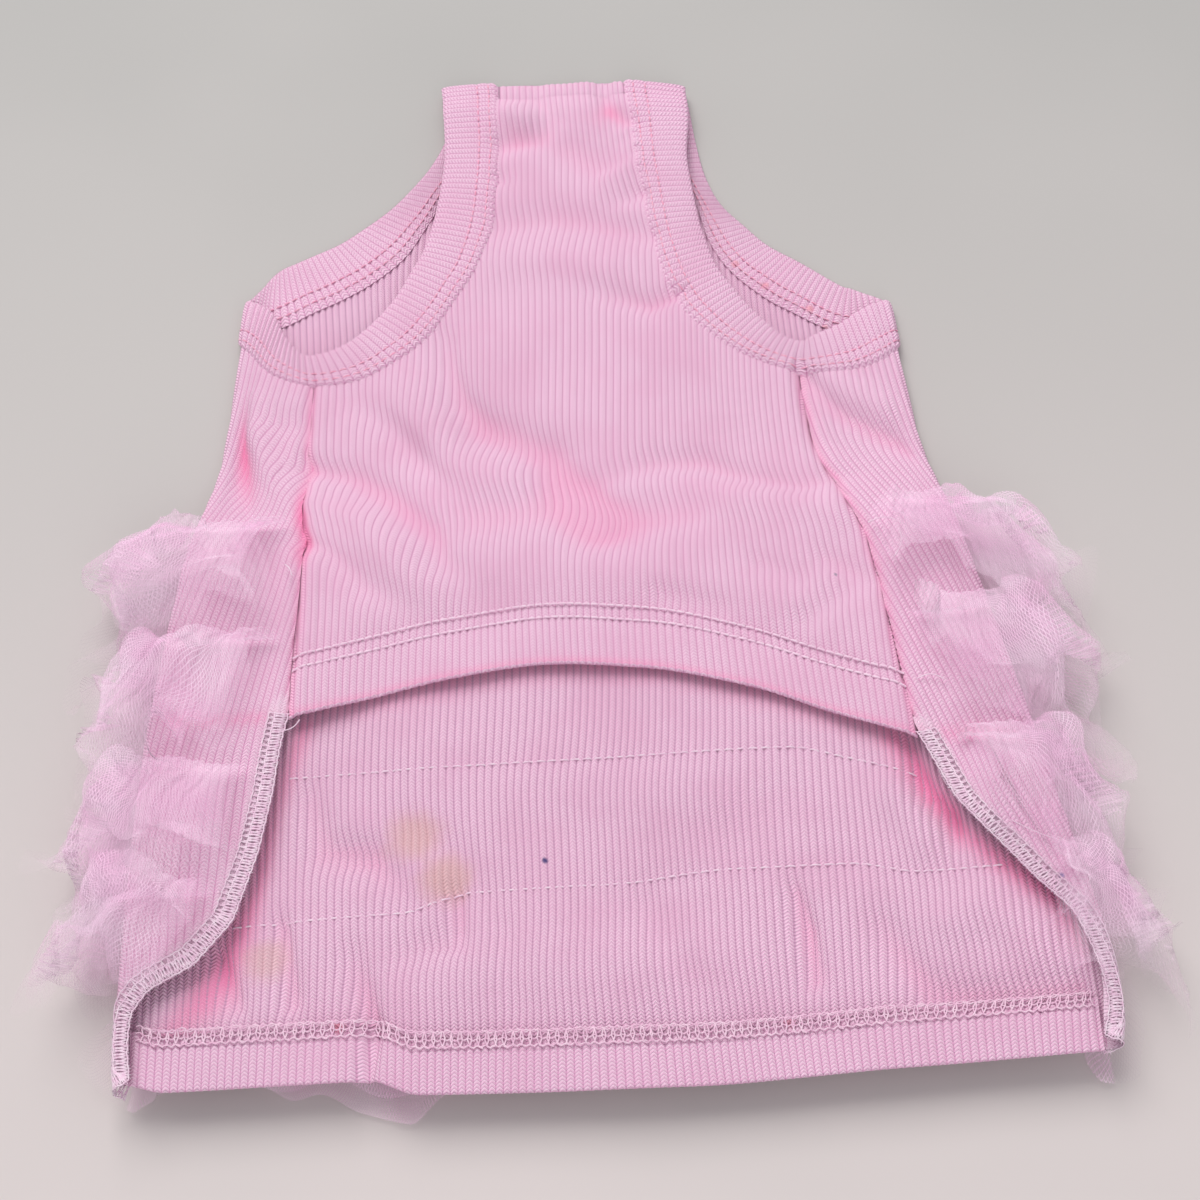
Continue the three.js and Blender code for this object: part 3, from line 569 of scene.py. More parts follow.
class Nodes:
    """A material's node tree with short names for the nodes used here."""

    def __init__(self, name):
        self.material = bpy.data.materials.new(name)
        self.material.use_nodes = True
        self.tree = self.material.node_tree
        self.shader = self.tree.nodes["Principled BSDF"]

    def node(self, kind, **values):
        made = self.tree.nodes.new(kind)
        for key, value in values.items():
            setattr(made, key, value)
        return made

    def feed(self, value, socket):
        if isinstance(value, bpy.types.NodeSocket):
            self.tree.links.new(value, socket)
        else:
            socket.default_value = value

    def math(self, what, a, b=0.0, c=0.0):
        made = self.node("ShaderNodeMath", operation=what)
        for value, socket in zip((a, b, c), made.inputs):
            self.feed(value, socket)
        return made.outputs[0]

    def blend(self, share, a, b):
        made = self.node("ShaderNodeMix", data_type="RGBA")
        self.feed(share, made.inputs[0])
        self.feed(a, made.inputs[6])
        self.feed(b, made.inputs[7])
        return made.outputs[2]

    def between(self, value, low, high, to_low=0.0, to_high=1.0):
        made = self.node("ShaderNodeMapRange", interpolation_type="SMOOTHSTEP")
        for socket, number in zip(made.inputs, (value, low, high, to_low, to_high)):
            self.feed(number, socket)
        return made.outputs[0]

    def noise(self, scale, detail):
        made = self.node("ShaderNodeTexNoise")
        made.inputs["Scale"].default_value = scale
        made.inputs["Detail"].default_value = detail
        self.feed(self.place(), made.inputs["Vector"])
        return made.outputs[0]

    def place(self):
        return self.node("ShaderNodeTexCoord").outputs["Object"]

    def split(self, vector):
        made = self.node("ShaderNodeSeparateXYZ")
        self.feed(vector, made.inputs[0])
        return made.outputs[:3]

    def cloth_uv(self):
        return self.split(self.node("ShaderNodeUVMap", uv_map="cloth").outputs[0])[:2]

    def attribute(self, name):
        return self.node("ShaderNodeAttribute", attribute_name=name).outputs["Fac"]

    def bump(self, height, distance, strength):
        made = self.node("ShaderNodeBump")
        made.inputs["Strength"].default_value = strength
        made.inputs["Distance"].default_value = distance
        self.feed(height, made.inputs["Height"])
        return made.outputs[0]

    def set(self, **values):
        for key, value in values.items():
            self.feed(value, self.shader.inputs[key.replace("_", " ")])


def colour(text):
    """Linear RGBA from a hexadecimal sRGB colour."""
    parts = [int(text[i:i + 2], 16) / 255 for i in (0, 2, 4)]
    return tuple(c / 12.92 if c < 0.04045 else ((c + 0.055) / 1.055) ** 2.4 for c in parts) + (1.0,)


def spot(nodes, base, place, rough, x, y, radius, tint, strength):
    """Blends a stain or speck at a place of the garment into a colour."""
    dx = nodes.math("SUBTRACT", place[0], (x + SHIFT[0]) * MM)
    dy = nodes.math("SUBTRACT", place[1], (y + SHIFT[1]) * MM)
    square = nodes.math("ADD", nodes.math("MULTIPLY", dx, dx), nodes.math("MULTIPLY", dy, dy))
    far = nodes.math("MULTIPLY", nodes.math("SQRT", square), rough)
    share = nodes.between(far, radius * MM, 0.25 * radius * MM, 0.0, strength)
    return nodes.blend(share, base, colour(tint))


# Stains and specks on the panels and bands. Columns: x, y, radius, colour, strength
STAINS = [
    (-50, 66, 10, "E0B49C", 0.45), (-42, 54, 10, "DEB29C", 0.5), (-88, 34, 8, "E2B9A4", 0.4),
    (-16, 57.5, 1.1, "46407C", 0.95),
    (117.5, 45.5, 1.0, "5C6AA8", 0.9), (68.6, 137.8, 0.8, "8A7F96", 0.7),
    (-69.6, 15.4, 2.4, "F58AA2", 0.6), (44.1, 11.3, 2.2, "F58AA2", 0.5),
]
BAND_STAINS = [
    (50.3, 256.1, 1.7, "F59AA4", 0.6), (58.9, 246.8, 1.8, "F59AA4", 0.6), (72.1, 237.7, 1.7, "F59AA4", 0.6),
    (76.1, 230.7, 1.5, "F59AA4", 0.5),
]


def rib_material(name, stains):
    """Rib knit: pale ridges, valleys with painted shade, small V stitches, soft clouds and pink painted
    shade in the folds.
    """
    nodes = Nodes(name)
    u, v = nodes.cloth_uv()
    phase = nodes.math("MULTIPLY", u, UV_MM / RIB)
    peak = nodes.math("ABSOLUTE", nodes.math("COSINE", nodes.math("MULTIPLY", phase, math.pi)))
    offset = nodes.math("ABSOLUTE", nodes.math("SUBTRACT", phase, nodes.math("ROUND", phase)))
    lean = nodes.math("MULTIPLY_ADD", v, UV_MM / STITCH, nodes.math("MULTIPLY", offset, 1.5))
    stitch = nodes.math("SINE", nodes.math("MULTIPLY", lean, 2 * math.pi))
    cloud = nodes.noise(55, 2)
    fuzz = nodes.noise(2300, 1)
    width = nodes.math("MULTIPLY_ADD", cloud, 0.5, 0.25)
    # Painted shade: the valleys between the ribs are painted a deeper pink than the ridges
    pink = nodes.blend(nodes.between(peak, 0.05, width), colour("DE9FC3"), colour("FDD6EB"))
    grain = nodes.math("MULTIPLY_ADD", stitch, 0.35, fuzz)
    pink = nodes.blend(nodes.between(grain, 0.85, 0.15, 0.0, 0.62), pink, colour("E3A4C9"))
    pink = nodes.blend(nodes.between(cloud, 0.4, 0.7, 0.0, 0.35), pink, colour("EFB4D3"))
    # Painted shade: a saturated pink where the shade attribute marks folds, seams and the shadow under the
    # belly hem
    pink = nodes.blend(nodes.math("MULTIPLY", nodes.attribute("shade"), 0.9), pink, colour("FF8ABB"))
    # The mark is below 0 on the inner face, where grey painted shade fills the valleys, and above 0 at the
    # overlock
    mark = nodes.attribute("mark")
    inside = nodes.math("MAXIMUM", nodes.math("MULTIPLY", mark, -1.0))
    valley = nodes.math("MULTIPLY", nodes.between(peak, 0.62, 0.15), inside)
    valley = nodes.math("MULTIPLY", valley, nodes.between(grain, 0.9, 0.1, 0.35, 0.85))
    pink = nodes.blend(valley, pink, colour("D0A3C0"))
    patch = nodes.between(fuzz, 0.3, 0.7, 0.5, 1.0)
    pale = nodes.math("MULTIPLY", nodes.math("MAXIMUM", mark), patch)
    pink = nodes.blend(pale, pink, colour("FBDDEE"))
    place = nodes.split(nodes.place())
    rough = nodes.math("MULTIPLY_ADD", nodes.noise(170, 2), 0.8, 0.6)
    for stain in stains:
        pink = spot(nodes, pink, place, rough, *stain)
    nodes.set(Base_Color=pink, Roughness=0.85, Normal=nodes.bump(stitch, 0.00015, 0.8))
    nodes.set(Sheen_Weight=0.15, Sheen_Roughness=0.6, Sheen_Tint=colour("FFE3F4"), Specular_IOR_Level=0.25)
    return nodes.material


def thread_material(name, tint, deep):
    """Sewing thread in a tint with deeper places."""
    nodes = Nodes(name)
    shade = nodes.between(nodes.noise(700, 2), 0.3, 0.7)
    nodes.set(Base_Color=nodes.blend(shade, colour(deep), colour(tint)), Roughness=0.7, Sheen_Weight=0.3)
    return nodes.material


def net_material(name, tint, deep):
    """Fine net: threads along two directions, open between them, with a faint painted glow."""
    nodes = Nodes(name)
    u, v = nodes.cloth_uv()
    lines = None
    for lean in (-1, 1):
        way = nodes.math("MULTIPLY_ADD", u, 0.9 * lean, v)
        turn = nodes.math("MULTIPLY", way, math.pi * UV_MM / NET_PITCH)
        wave = nodes.math("ABSOLUTE", nodes.math("SINE", turn))
        line = nodes.between(wave, 0.42, 0.12)
        lines = line if lines is None else nodes.math("MAXIMUM", lines, line)
    mark = nodes.attribute("mark")
    share = nodes.math("MULTIPLY", nodes.math("MULTIPLY_ADD", lines, NET_LINES, NET_HAZE), mark)
    pink = nodes.blend(nodes.between(nodes.noise(70, 2), 0.3, 0.7), colour(deep), colour(tint))
    nodes.set(Base_Color=pink, Roughness=0.8, Alpha=share, Sheen_Weight=0.2, Specular_IOR_Level=0.1)
    # Painted light: a faint pink glow stands in for light scattered through the net
    nodes.set(Emission_Color=colour("FFCBE9"), Emission_Strength=0.1)
    return nodes.material


RIB_FACE = rib_material("rib_knit", STAINS)
BAND_FACE = rib_material("rib_band", BAND_STAINS)
WHITE_THREAD = thread_material("pale_thread", "FDE6F3", "F6CFE6")
SOFT_THREAD = thread_material("soft_thread", "FFE2F2", "FACFE7")
HEM_THREAD = thread_material("hem_thread", "FBD8EA", "F0BDD9")
PINK_THREAD = thread_material("pink_thread", "FBC0D6", "F7A4C4")
NET = net_material("tulle_net", "FCE4F4", "F9CDEA")


def spline(points, t):
    """A smooth curve through points, read at t from 0 to 1."""
    points = np.asarray(points, float)
    p = np.clip(np.asarray(t, float), 0, 1) * (len(points) - 1)
    i = np.minimum(p.astype(int), len(points) - 2)
    w = (p - i)[:, None]
    p0, p1 = points[np.maximum(i - 1, 0)], points[i]
    p2, p3 = points[i + 1], points[np.minimum(i + 2, len(points) - 1)]
    v0, v1 = (p2 - p0) / 2, (p3 - p1) / 2
    cubic = 2 * p1 - 2 * p2 + v0 + v1
    square = 3 * p2 - 3 * p1 - 2 * v0 - v1
    return cubic * w**3 + square * w**2 + v0 * w + p1


def cloth_points(table, side, x, y):
    """Two columns of a band's table as points (distance along the cloth, y)."""
    return [(along(row[x], row[y], side, layer), row[y]) for layer, rows in table for row in rows]


class Band:
    """An armhole band's sewn and free edges over the cloth, read by length along it."""

    def __init__(self, table, side):
        self.side = side
        self.sewn_points = cloth_points(table, side, 0, 1)
        self.free_points = cloth_points(table, side, 2, 3)
        t = np.linspace(0, 1, 3000)
        sewn, free = self.edges(t)
        self.far = lengths((sewn + free) / 2)
        self.places = t
        self.length = self.far[-1]
        self.width = np.linalg.norm(sewn - free, axis=1).mean()

    def edges(self, t):
        """Both edges at t from 0 to 1."""
        return spline(self.sewn_points, t), spline(self.free_points, t)

    def at(self, u, v, out):
        """Points u mm along the band and v of its width from the sewn edge."""
        u, v, out = spread(u, v, out)
        sewn, free = self.edges(np.interp(u, self.far, self.places).ravel())
        place = sewn + (free - sewn) * v.ravel()[:, None]
        points = cloth(self.side * place[:, 0], place[:, 1], out.ravel())
        points[:, 2] -= NECK_FALL * (np.maximum(points[:, 1] - NECK_Y, 0) / NECK_BAND) ** 2
        return points.reshape(u.shape + (3,))

    def under_edge(self):
        """Where the panels end, a little way under the band."""
        sewn, free = self.edges(np.linspace(0, 1, 1200))
        return sewn + (free - sewn) * BAND_LAP


BANDS = {-1: Band(LEFT_BAND, -1), 1: Band(RIGHT_BAND, 1)}
SEAMS = {-1: LEFT_SEAM, 1: RIGHT_SEAM}
CUTS = {-1: LEFT_CUT, 1: RIGHT_CUT}


def interp_down(points):
    """Reads y at a distance along the cloth from points (s, y)."""
    points = np.array(sorted(map(tuple, points)))
    return lambda s: np.interp(s, points[:, 0], points[:, 1])


def rows_between(low, high, count):
    """Places along Y of each column's points, from its lower end up to its upper one."""
    up = np.linspace(0, 1, count)[None, :]
    return np.minimum(low[:, None] + (NECK_Y - low)[:, None] * up, high[:, None])


def upper_points(rows, side):
    """Points (x, y) of the upper layer as points (distance along the cloth, y)."""
    return [(float(along(x, y, side, "upper")), y) for x, y in rows]


class BackSide:
    """Where one side of the back panel ends, above, below and along its cut edge."""

    def __init__(self, side):
        seam = upper_points(SEAMS[side], side)
        armhole = [(s, y) for s, y in BANDS[side].under_edge() if s < seam[0][0] - 1]
        turned = float(flat_to(20, side) + math.pi * rise(20) / 2 + 2)
        corner = [(turned - 0.6, 3), (turned - 0.3, 12), (turned, 20)]
        low_points = [(HEM_CORNER, 0.0)] + corner + upper_points(CUTS[side], side)
        self.side = side
        self.strap = armhole[-1][0]
        self.upper = interp_down([p for p in armhole if p[1] < NECK_Y - 1] + seam)
        self.lower = interp_down(low_points)
        self.width = seam[-1][0] - 0.3
        self.cut_edge = np.array(sorted(low_points + [seam[-1]]))

    def high(self, reach):
        return np.where(reach <= self.strap, NECK_Y, np.minimum(self.upper(reach), NECK_Y))

    def low(self, reach):
        hem, corner = back_hem(self.side * reach), back_hem(self.side * HEM_CORNER)
        return np.where(reach <= HEM_CORNER, hem, np.maximum(self.lower(reach), corner))


BACK_SIDES = {side: BackSide(side) for side in (-1, 1)}


def overlocked(s, y):
    """How pale the cloth is under the overlock threads along the cut edges."""
    mark = np.zeros(y.shape)
    for side, back in BACK_SIDES.items():
        t = np.linspace(0, 1, 60)
        at = np.linspace(0, 1, len(back.cut_edge))
        edge = np.stack([np.interp(t, at, back.cut_edge[:, k]) for k in (0, 1)], 1)
        edge = edge[edge[:, 1] > 1]
        here = np.where(s * side > 100)[0]
        off_s = np.abs(s)[here][:, None, None] - edge[None, None, :, 0]
        off_y = y[here][:, :, None] - edge[None, None, :, 1]
        mark[here] = ease((OVERLOCK_PALE - np.hypot(off_s, off_y).min(2)) / 1.4) * 0.8
    return mark


def back_panel():
    """The back, wrapped round both side folds, with its turned hem and all its stitching."""
    build = Build()
    left, right = (math.floor(BACK_SIDES[side].width / COLUMN) * COLUMN for side in (-1, 1))
    s = np.arange(-left, right + COLUMN / 2, COLUMN)
    reach = np.abs(s)
    high = np.where(s < 0, BACK_SIDES[-1].high(reach), BACK_SIDES[1].high(reach))
    low = np.where(s < 0, BACK_SIDES[-1].low(reach), BACK_SIDES[1].low(reach))
    y = rows_between(low, high, 97)
    # Ribs stand on the inner face of the lower layer and the outer face of the upper one
    inside = ease((flat_to(y, np.sign(s)[:, None]) - reach[:, None]) / 3)
    mark = np.where(inside > 0.5, -1, overlocked(s, y))
    points = cloth(s[:, None], y, ribs(s)[:, None] * (1 - 2.4 * inside))
    build.grid(points, s[:, None], y, mark, cloth_shade(s[:, None], y), cut=True)
    inner = s[np.abs(s) <= HEM_CORNER]
    down, behind = hem_profile(BACK_HEM, 8)
    hem_y = back_hem(inner)[:, None] + down[None, :]
    points = cloth(inner[:, None], hem_y, -behind[None, :] - ribs(inner)[:, None])
    build.grid(points, inner[:, None], hem_y, mark=-0.3)
    coverstitch(build)
    for side, back in BACK_SIDES.items():
        overlock(build, back.cut_edge, side)
    loose_threads(build)
    for line, start, end in ((line_a, -83, 85), (line_b, -97, 105)):
        dashes(build, lambda x, out: cloth(x, line(x), -out), start, end, 3.1, 2.5, 0.24, 0.45)
    materials = [RIB_FACE, WHITE_THREAD, HEM_THREAD]
    build.piece("back_panel_cloth", materials, "back_panel", "rib_knit")


def dashes(build, at, start, end, pitch, length, radius, lift, slot=1):
    """A row of straight stitches: each dips into the cloth at both ends."""
    first = np.arange(start, end - length, pitch)[:, None]
    t = np.array([0, 0.18, 0.5, 0.82, 1.0])
    out = lift * np.array([-0.5, 0.75, 1.0, 0.75, -0.5])
    along_it = first + t[None, :] * length
    build.threads(at(along_it, np.broadcast_to(out, along_it.shape)), radius, slot)


def zigzag(count, low, high, rng):
    """Places of a zigzag thread: which stitch each point is at, and its depth."""
    turn = np.where(np.arange(count) % 2 == 0, low, high) + rng.normal(0, 0.03 * abs(high - low), count)
    fine = np.linspace(0, count - 1, (count - 1) * 4 + 1)
    return fine, np.interp(fine, np.arange(count), turn)


def coverstitch(build):
    """The looper threads of the back hem: linked loops between two needle rows."""
    rng = np.random.default_rng(3)
    x = np.arange(-119, 119, 2.3)
    loop = [(0, 0), (0.25, 0.5), (0.1, 1), (0.5, 1.12), (0.9, 1), (0.75, 0.5), (1, 0), (1.4, -0.1)]
    place = np.array(loop)[None] * np.array([2.6, 3.6]) + rng.normal(0, 0.12, (len(x), 1, 2))
    xs = x[:, None] + place[:, :, 0]
    ys = back_hem(xs) + HEM_STITCH + place[:, :, 1]
    hem_face = 2 * HEM_FOLD + RIB_DEPTH
    lift = hem_face + 0.25 + 0.12 * rng.random((len(x), 1))
    xs = np.clip(xs, -121, 121)
    build.threads(cloth(xs, ys, -np.broadcast_to(lift, xs.shape)), 0.24, 2)
    for row, thick in ((0, 0.24), (1.8, 0.2), (3.6, 0.24)):
        line = np.linspace(-120, 120, 600)
        wobble = 0.25 * np.sin(line * 2.73) + 0.12 * np.sin(line * 1.31)
        path = cloth(line, back_hem(line) + HEM_STITCH + row + wobble, -(hem_face + 0.2))
        build.threads(path[None], thick, 2)


def overlock(build, edge, side):
    """Overlock stitches wrapped round a cut edge given as (s, y) points."""
    rng = np.random.default_rng(5 + side)
    edge = edge[:-1]
    step = lengths(edge)
    count = int(step[-1] / 0.8)
    far = np.linspace(0, step[-1], count)
    s, y = np.interp(far, step, edge[:, 0]), np.interp(far, step, edge[:, 1])
    kernel = np.hanning(9) / np.hanning(9).sum()
    s[4:-4], y[4:-4] = np.convolve(s, kernel, "valid"), np.convolve(y, kernel, "valid")
    way = np.stack([np.gradient(s), np.gradient(y)], 1)
    way /= np.linalg.norm(way, axis=1, keepdims=True)
    inward = np.stack([-way[:, 1], way[:, 0]], 1)
    stitch = np.arange(count)

    def place(at, depth, lift):
        read = lambda values: np.interp(at, stitch, values)
        ps = read(s) + read(inward[:, 0]) * depth
        return cloth(side * ps, read(y) + read(inward[:, 1]) * depth, lift)

    for low, high, base, thick in ((-0.2, OVERLOCK, 0.3, 0.22), (4.0, -0.3, 0.28, 0.2)):
        at, depth = zigzag(count, low, high, rng)
        build.threads(place(at, depth, base + 0.04 * depth)[None], thick)
    for depth in (5.4, 3.6, 0.1):
        build.threads(place(stitch, depth + 0.15 * np.sin(stitch * 1.9), 0.5)[None], 0.2)


def loose_threads(build):
    """Ends of thread that lie free on the cloth."""
    t = np.linspace(0, 1, 12)[:, None]
    for x, y, to_x, to_y, bow in LOOSE_THREADS:
        start, end = np.array([x, y, LOOSE_HEIGHT]), np.array([to_x, to_y, LOOSE_HEIGHT + 1])
        aside = np.array([y - to_y, to_x - x, 0]) * bow
        build.threads((start + (end - start) * t + aside * np.sin(math.pi * t))[None], 0.16)


def belly_top(side):
    """Reads how high the belly panel reaches beside its strap, at a distance from the middle."""
    seam = [(px + 0.6, py) for px, py in SEAMS[side]]
    first = float(along(*seam[0], side, "upper"))
    armhole = [(s, py) for s, py in BANDS[side].under_edge() if s > first + 1 and py < NECK_Y - 1]
    edge = [(2 * flat_to(py, side) + math.pi * rise(py) / 2 - s, py) for s, py in armhole]
    return interp_down(edge + seam)


def belly_panel():
    """The belly panel with its turned hem and two rows of stitching."""
    build = Build()
    left, right = -(LEFT_SEAM[-1][0] + 0.4), RIGHT_SEAM[-1][0] + 0.4
    x = np.arange(math.ceil(left / COLUMN) * COLUMN, right, COLUMN)
    strap = np.where(x < 0, STRAP_LEFT, STRAP_RIGHT)
    high = np.where(x < 0, belly_top(-1)(np.abs(x)), belly_top(1)(np.abs(x)))
    high = np.where(np.abs(x) <= strap, NECK_Y, np.minimum(high, NECK_Y))
    low = belly_hem(x)
    y = rows_between(low, high, 96)
    over = y - low[:, None]
    thick = BELLY_HEM_THICK * ease((18 - over) / 2.5)
    dent = sum(-0.22 * hill(over - row - off, 0.7) for row in BELLY_HEM_ROWS for off in (-0.8, 0.8))
    tuck = -0.9 * ease((np.abs(x)[:, None] - seam_at(x[:, None], y) + 0.5) / 1.0)
    points = belly(x[:, None], y, ribs(x)[:, None] + thick + dent + tuck)
    build.grid(points, x[:, None], y, shade=upper_shade(*np.broadcast_arrays(x[:, None], y)), cut=True)
    down, behind = hem_profile(BELLY_HEM, 6)
    hem_y = low[:, None] + down[None, :]
    points = belly(x[:, None], hem_y, BELLY_HEM_THICK - behind[None, :] + ribs(x)[:, None])
    build.grid(points, x[:, None], hem_y)
    for row in BELLY_HEM_ROWS:
        at = lambda px, lift: belly(px, belly_hem(px) + row, BELLY_HEM_THICK + lift)
        dashes(build, at, left + 1, right - 1, 2.3, 1.7, 0.36, 0.15)
    build.piece("belly_panel_cloth", [RIB_FACE, SOFT_THREAD], "belly_panel", "rib_knit")


# Columns: place across the band, height off its middle surface
BAND_PROFILE = [
    (-0.03, -0.5), (-0.01, 0.1), (0.03, 0.75), (0.08, 1.0), (0.135, 0.72), (0.19, 1.05), (0.28, 1.05),
    (0.34, 0.7), (0.41, 0.95), (0.55, 0.95), (0.75, 0.9), (0.88, 0.75), (0.95, 0.45), (0.99, 0.0),
    (1.0, -0.4), (0.98, -0.8), (0.9, -1.0), (0.7, -1.05), (0.5, -1.05), (0.3, -1.05), (0.12, -1.0),
    (0.02, -0.8), (-0.03, -0.5),
]
NEEDLE_ROWS = (0.135, 0.34)


def armhole_band(name, node, side):
    """One folded band with ribs across it and twin-needle rows on both faces."""
    build = Build()
    band = BANDS[side]
    u = np.arange(0, band.length, BAND_RIB / 4)
    across, out = np.array(BAND_PROFILE).T
    facing = np.where(out > -0.45, 0.8, -0.8) * ease((across + 0.02) / 0.1)
    lift = ribs(u, BAND_RIB)[:, None] * facing[None, :]
    points = band.at(u[:, None], across[None, :], out[None, :] + lift)
    build.grid(points, u[:, None] * RIB / BAND_RIB, across[None, :] * band.width)
    for row in NEEDLE_ROWS:
        outer = lambda a, off: band.at(a, row, 0.8 + off)
        inner = lambda a, off: band.at(a, row, -1.15 - off)
        for face in (outer, inner):
            dashes(build, face, 1, band.length - 1, 2.5, 1.6, 0.27, 0.2, 2)
    build.piece(name, [BAND_FACE, WHITE_THREAD, PINK_THREAD], node, "rib_band")


# Columns: place along Y from the seam, the lower layer's height and the fall of the upper layer
NECK_PROFILE = [
    (-0.12, 0.5, 0.5), (0.02, 0.5, 0.05), (0.2, 0.5, 0.05), (0.4, 0.55, 0.2), (0.6, 0.6, 0.5),
    (0.75, 0.7, 0.85), (0.87, 0.85, 1.35), (0.95, 1.0, 1.85), (0.985, 1.1, 2.3), (0.97, 1.1, 2.6),
    (0.9, 1.05, 2.8), (0.75, 1.0, 3.0),
]
NECK_LEFT = -39.5
NECK_RIGHT = 38.5
NECK_END_ROUND = 1.3
UNDER_BAND = 0.3


def on_strap(x, width):
    """1 between the armhole bands and 0 under them."""
    return ease((x + STRAP_LEFT) / width) * ease((STRAP_RIGHT - x) / width)


def neck_ring(x, place, low, fall):
    """One ring round the neck end, and how far each of its points belongs to the upper layer."""
    top_z = belly(x, NECK_Y + min(place, 0) * NECK_BAND)[:, 2] - UNDER_BAND * (1 - on_strap(x, 2.0))
    high = np.maximum(top_z - fall, low + 0.5)
    angles = np.linspace(0, math.pi, 9)[1:-1]

    def end(at, out, height, way):
        across = at + out * NECK_END_ROUND * np.sin(angles)
        return np.stack([across, (height + low) / 2 + way * (height - low) / 2 * np.cos(angles)], 1)

    bottom = np.stack([x, np.full(len(x), low)], 1)
    top = np.stack([x[::-1], high[::-1]], 1)
    ring = np.concatenate([bottom, end(NECK_RIGHT, 1, high[-1], -1), top, end(NECK_LEFT, -1, high[0], 1)])
    return ring, ease((ring[:, 1] - (low + high.mean()) / 2) / 0.8)


def neck_band():
    """The neck end: both layers' cloth rolled over, ribs along Y and across at the bands."""
    build = Build()
    x = np.arange(NECK_LEFT, NECK_RIGHT + 0.01, 0.5)
    rings, tops = zip(*(neck_ring(x, *row) for row in NECK_PROFILE))
    ring, on_top = np.stack(rings, 1), np.stack(tops, 1)
    cover = np.array(NECK_PROFILE)[:, 0]
    px = ring[:, :, 0]
    strap = on_strap(px, 1.0)
    start = NECK_Y - 3.2 * np.clip((px - 20) / 20, 0, 1.05)
    reach = NECK_BAND - 1.2 * ease((px - 18) / 8) - 0.9 * ease((-px - 24) / 17)
    reach = reach + 1.0 * hill(px + 16, 9) + 0.8 * hill(px - 10, 8)
    y = start + reach * cover[None, :]
    lie = np.where(strap > 0.5, ribs(px), 0.8 * ribs(y - NECK_Y, BAND_RIB))
    z = ring[:, :, 1] + np.where(on_top > 0.5, 1, -0.25) * lie
    row_y = np.full(px.shape, float(NECK_Y)) + np.minimum(cover, 0)[None, :] * NECK_BAND
    points = np.stack([px + upper_sway(px, row_y), y, z], -1)
    u = np.where(strap > 0.5, px, (y - NECK_Y) * RIB / BAND_RIB)
    build.grid(points, u, y, closed=True)
    build.piece("neck_band_cloth", [RIB_FACE], "neck_band", "rib_knit")


# Columns: q from the middle of the back to its end on the flap, where it is stitched along the
# cloth from the fold, its flare, the free edge's height and how far it hangs to the hem
RUFFLE = [
    (0, -16, -0.25, 2.0, 1.0), (0.5, -16, -0.25, 2.0, 1.0), (0.6, -6, 0.5, 3.2, 0.95),
    (0.68, 0, 0.95, 8, 0.72), (0.75, 4, 1.0, 16, 0.62), (0.82, 8, 0.7, 23, 0.7),
    (0.9, 20, 0.05, 26, 0.66), (1, 37, -0.8, 25, 0.42),
]
# Columns: y of the stitching, flare at the left and at the right
RUFFLES = [(162, 26, 31), (124, 19, 23), (85, 22, 18), (50, 17, 17)]
RUFFLE_LENGTH = 52
RUFFLE_ROWS = 26
LEFT_HANG = 0.2
FLAP_REACH = 37
EDGE_BARE = 8
PUFF_UP = 11
DROP = 17
LAST_DROP = 4
sewn_at, flare_at, height_at, hang_at = (smooth(RUFFLE, k) for k in range(1, 5))


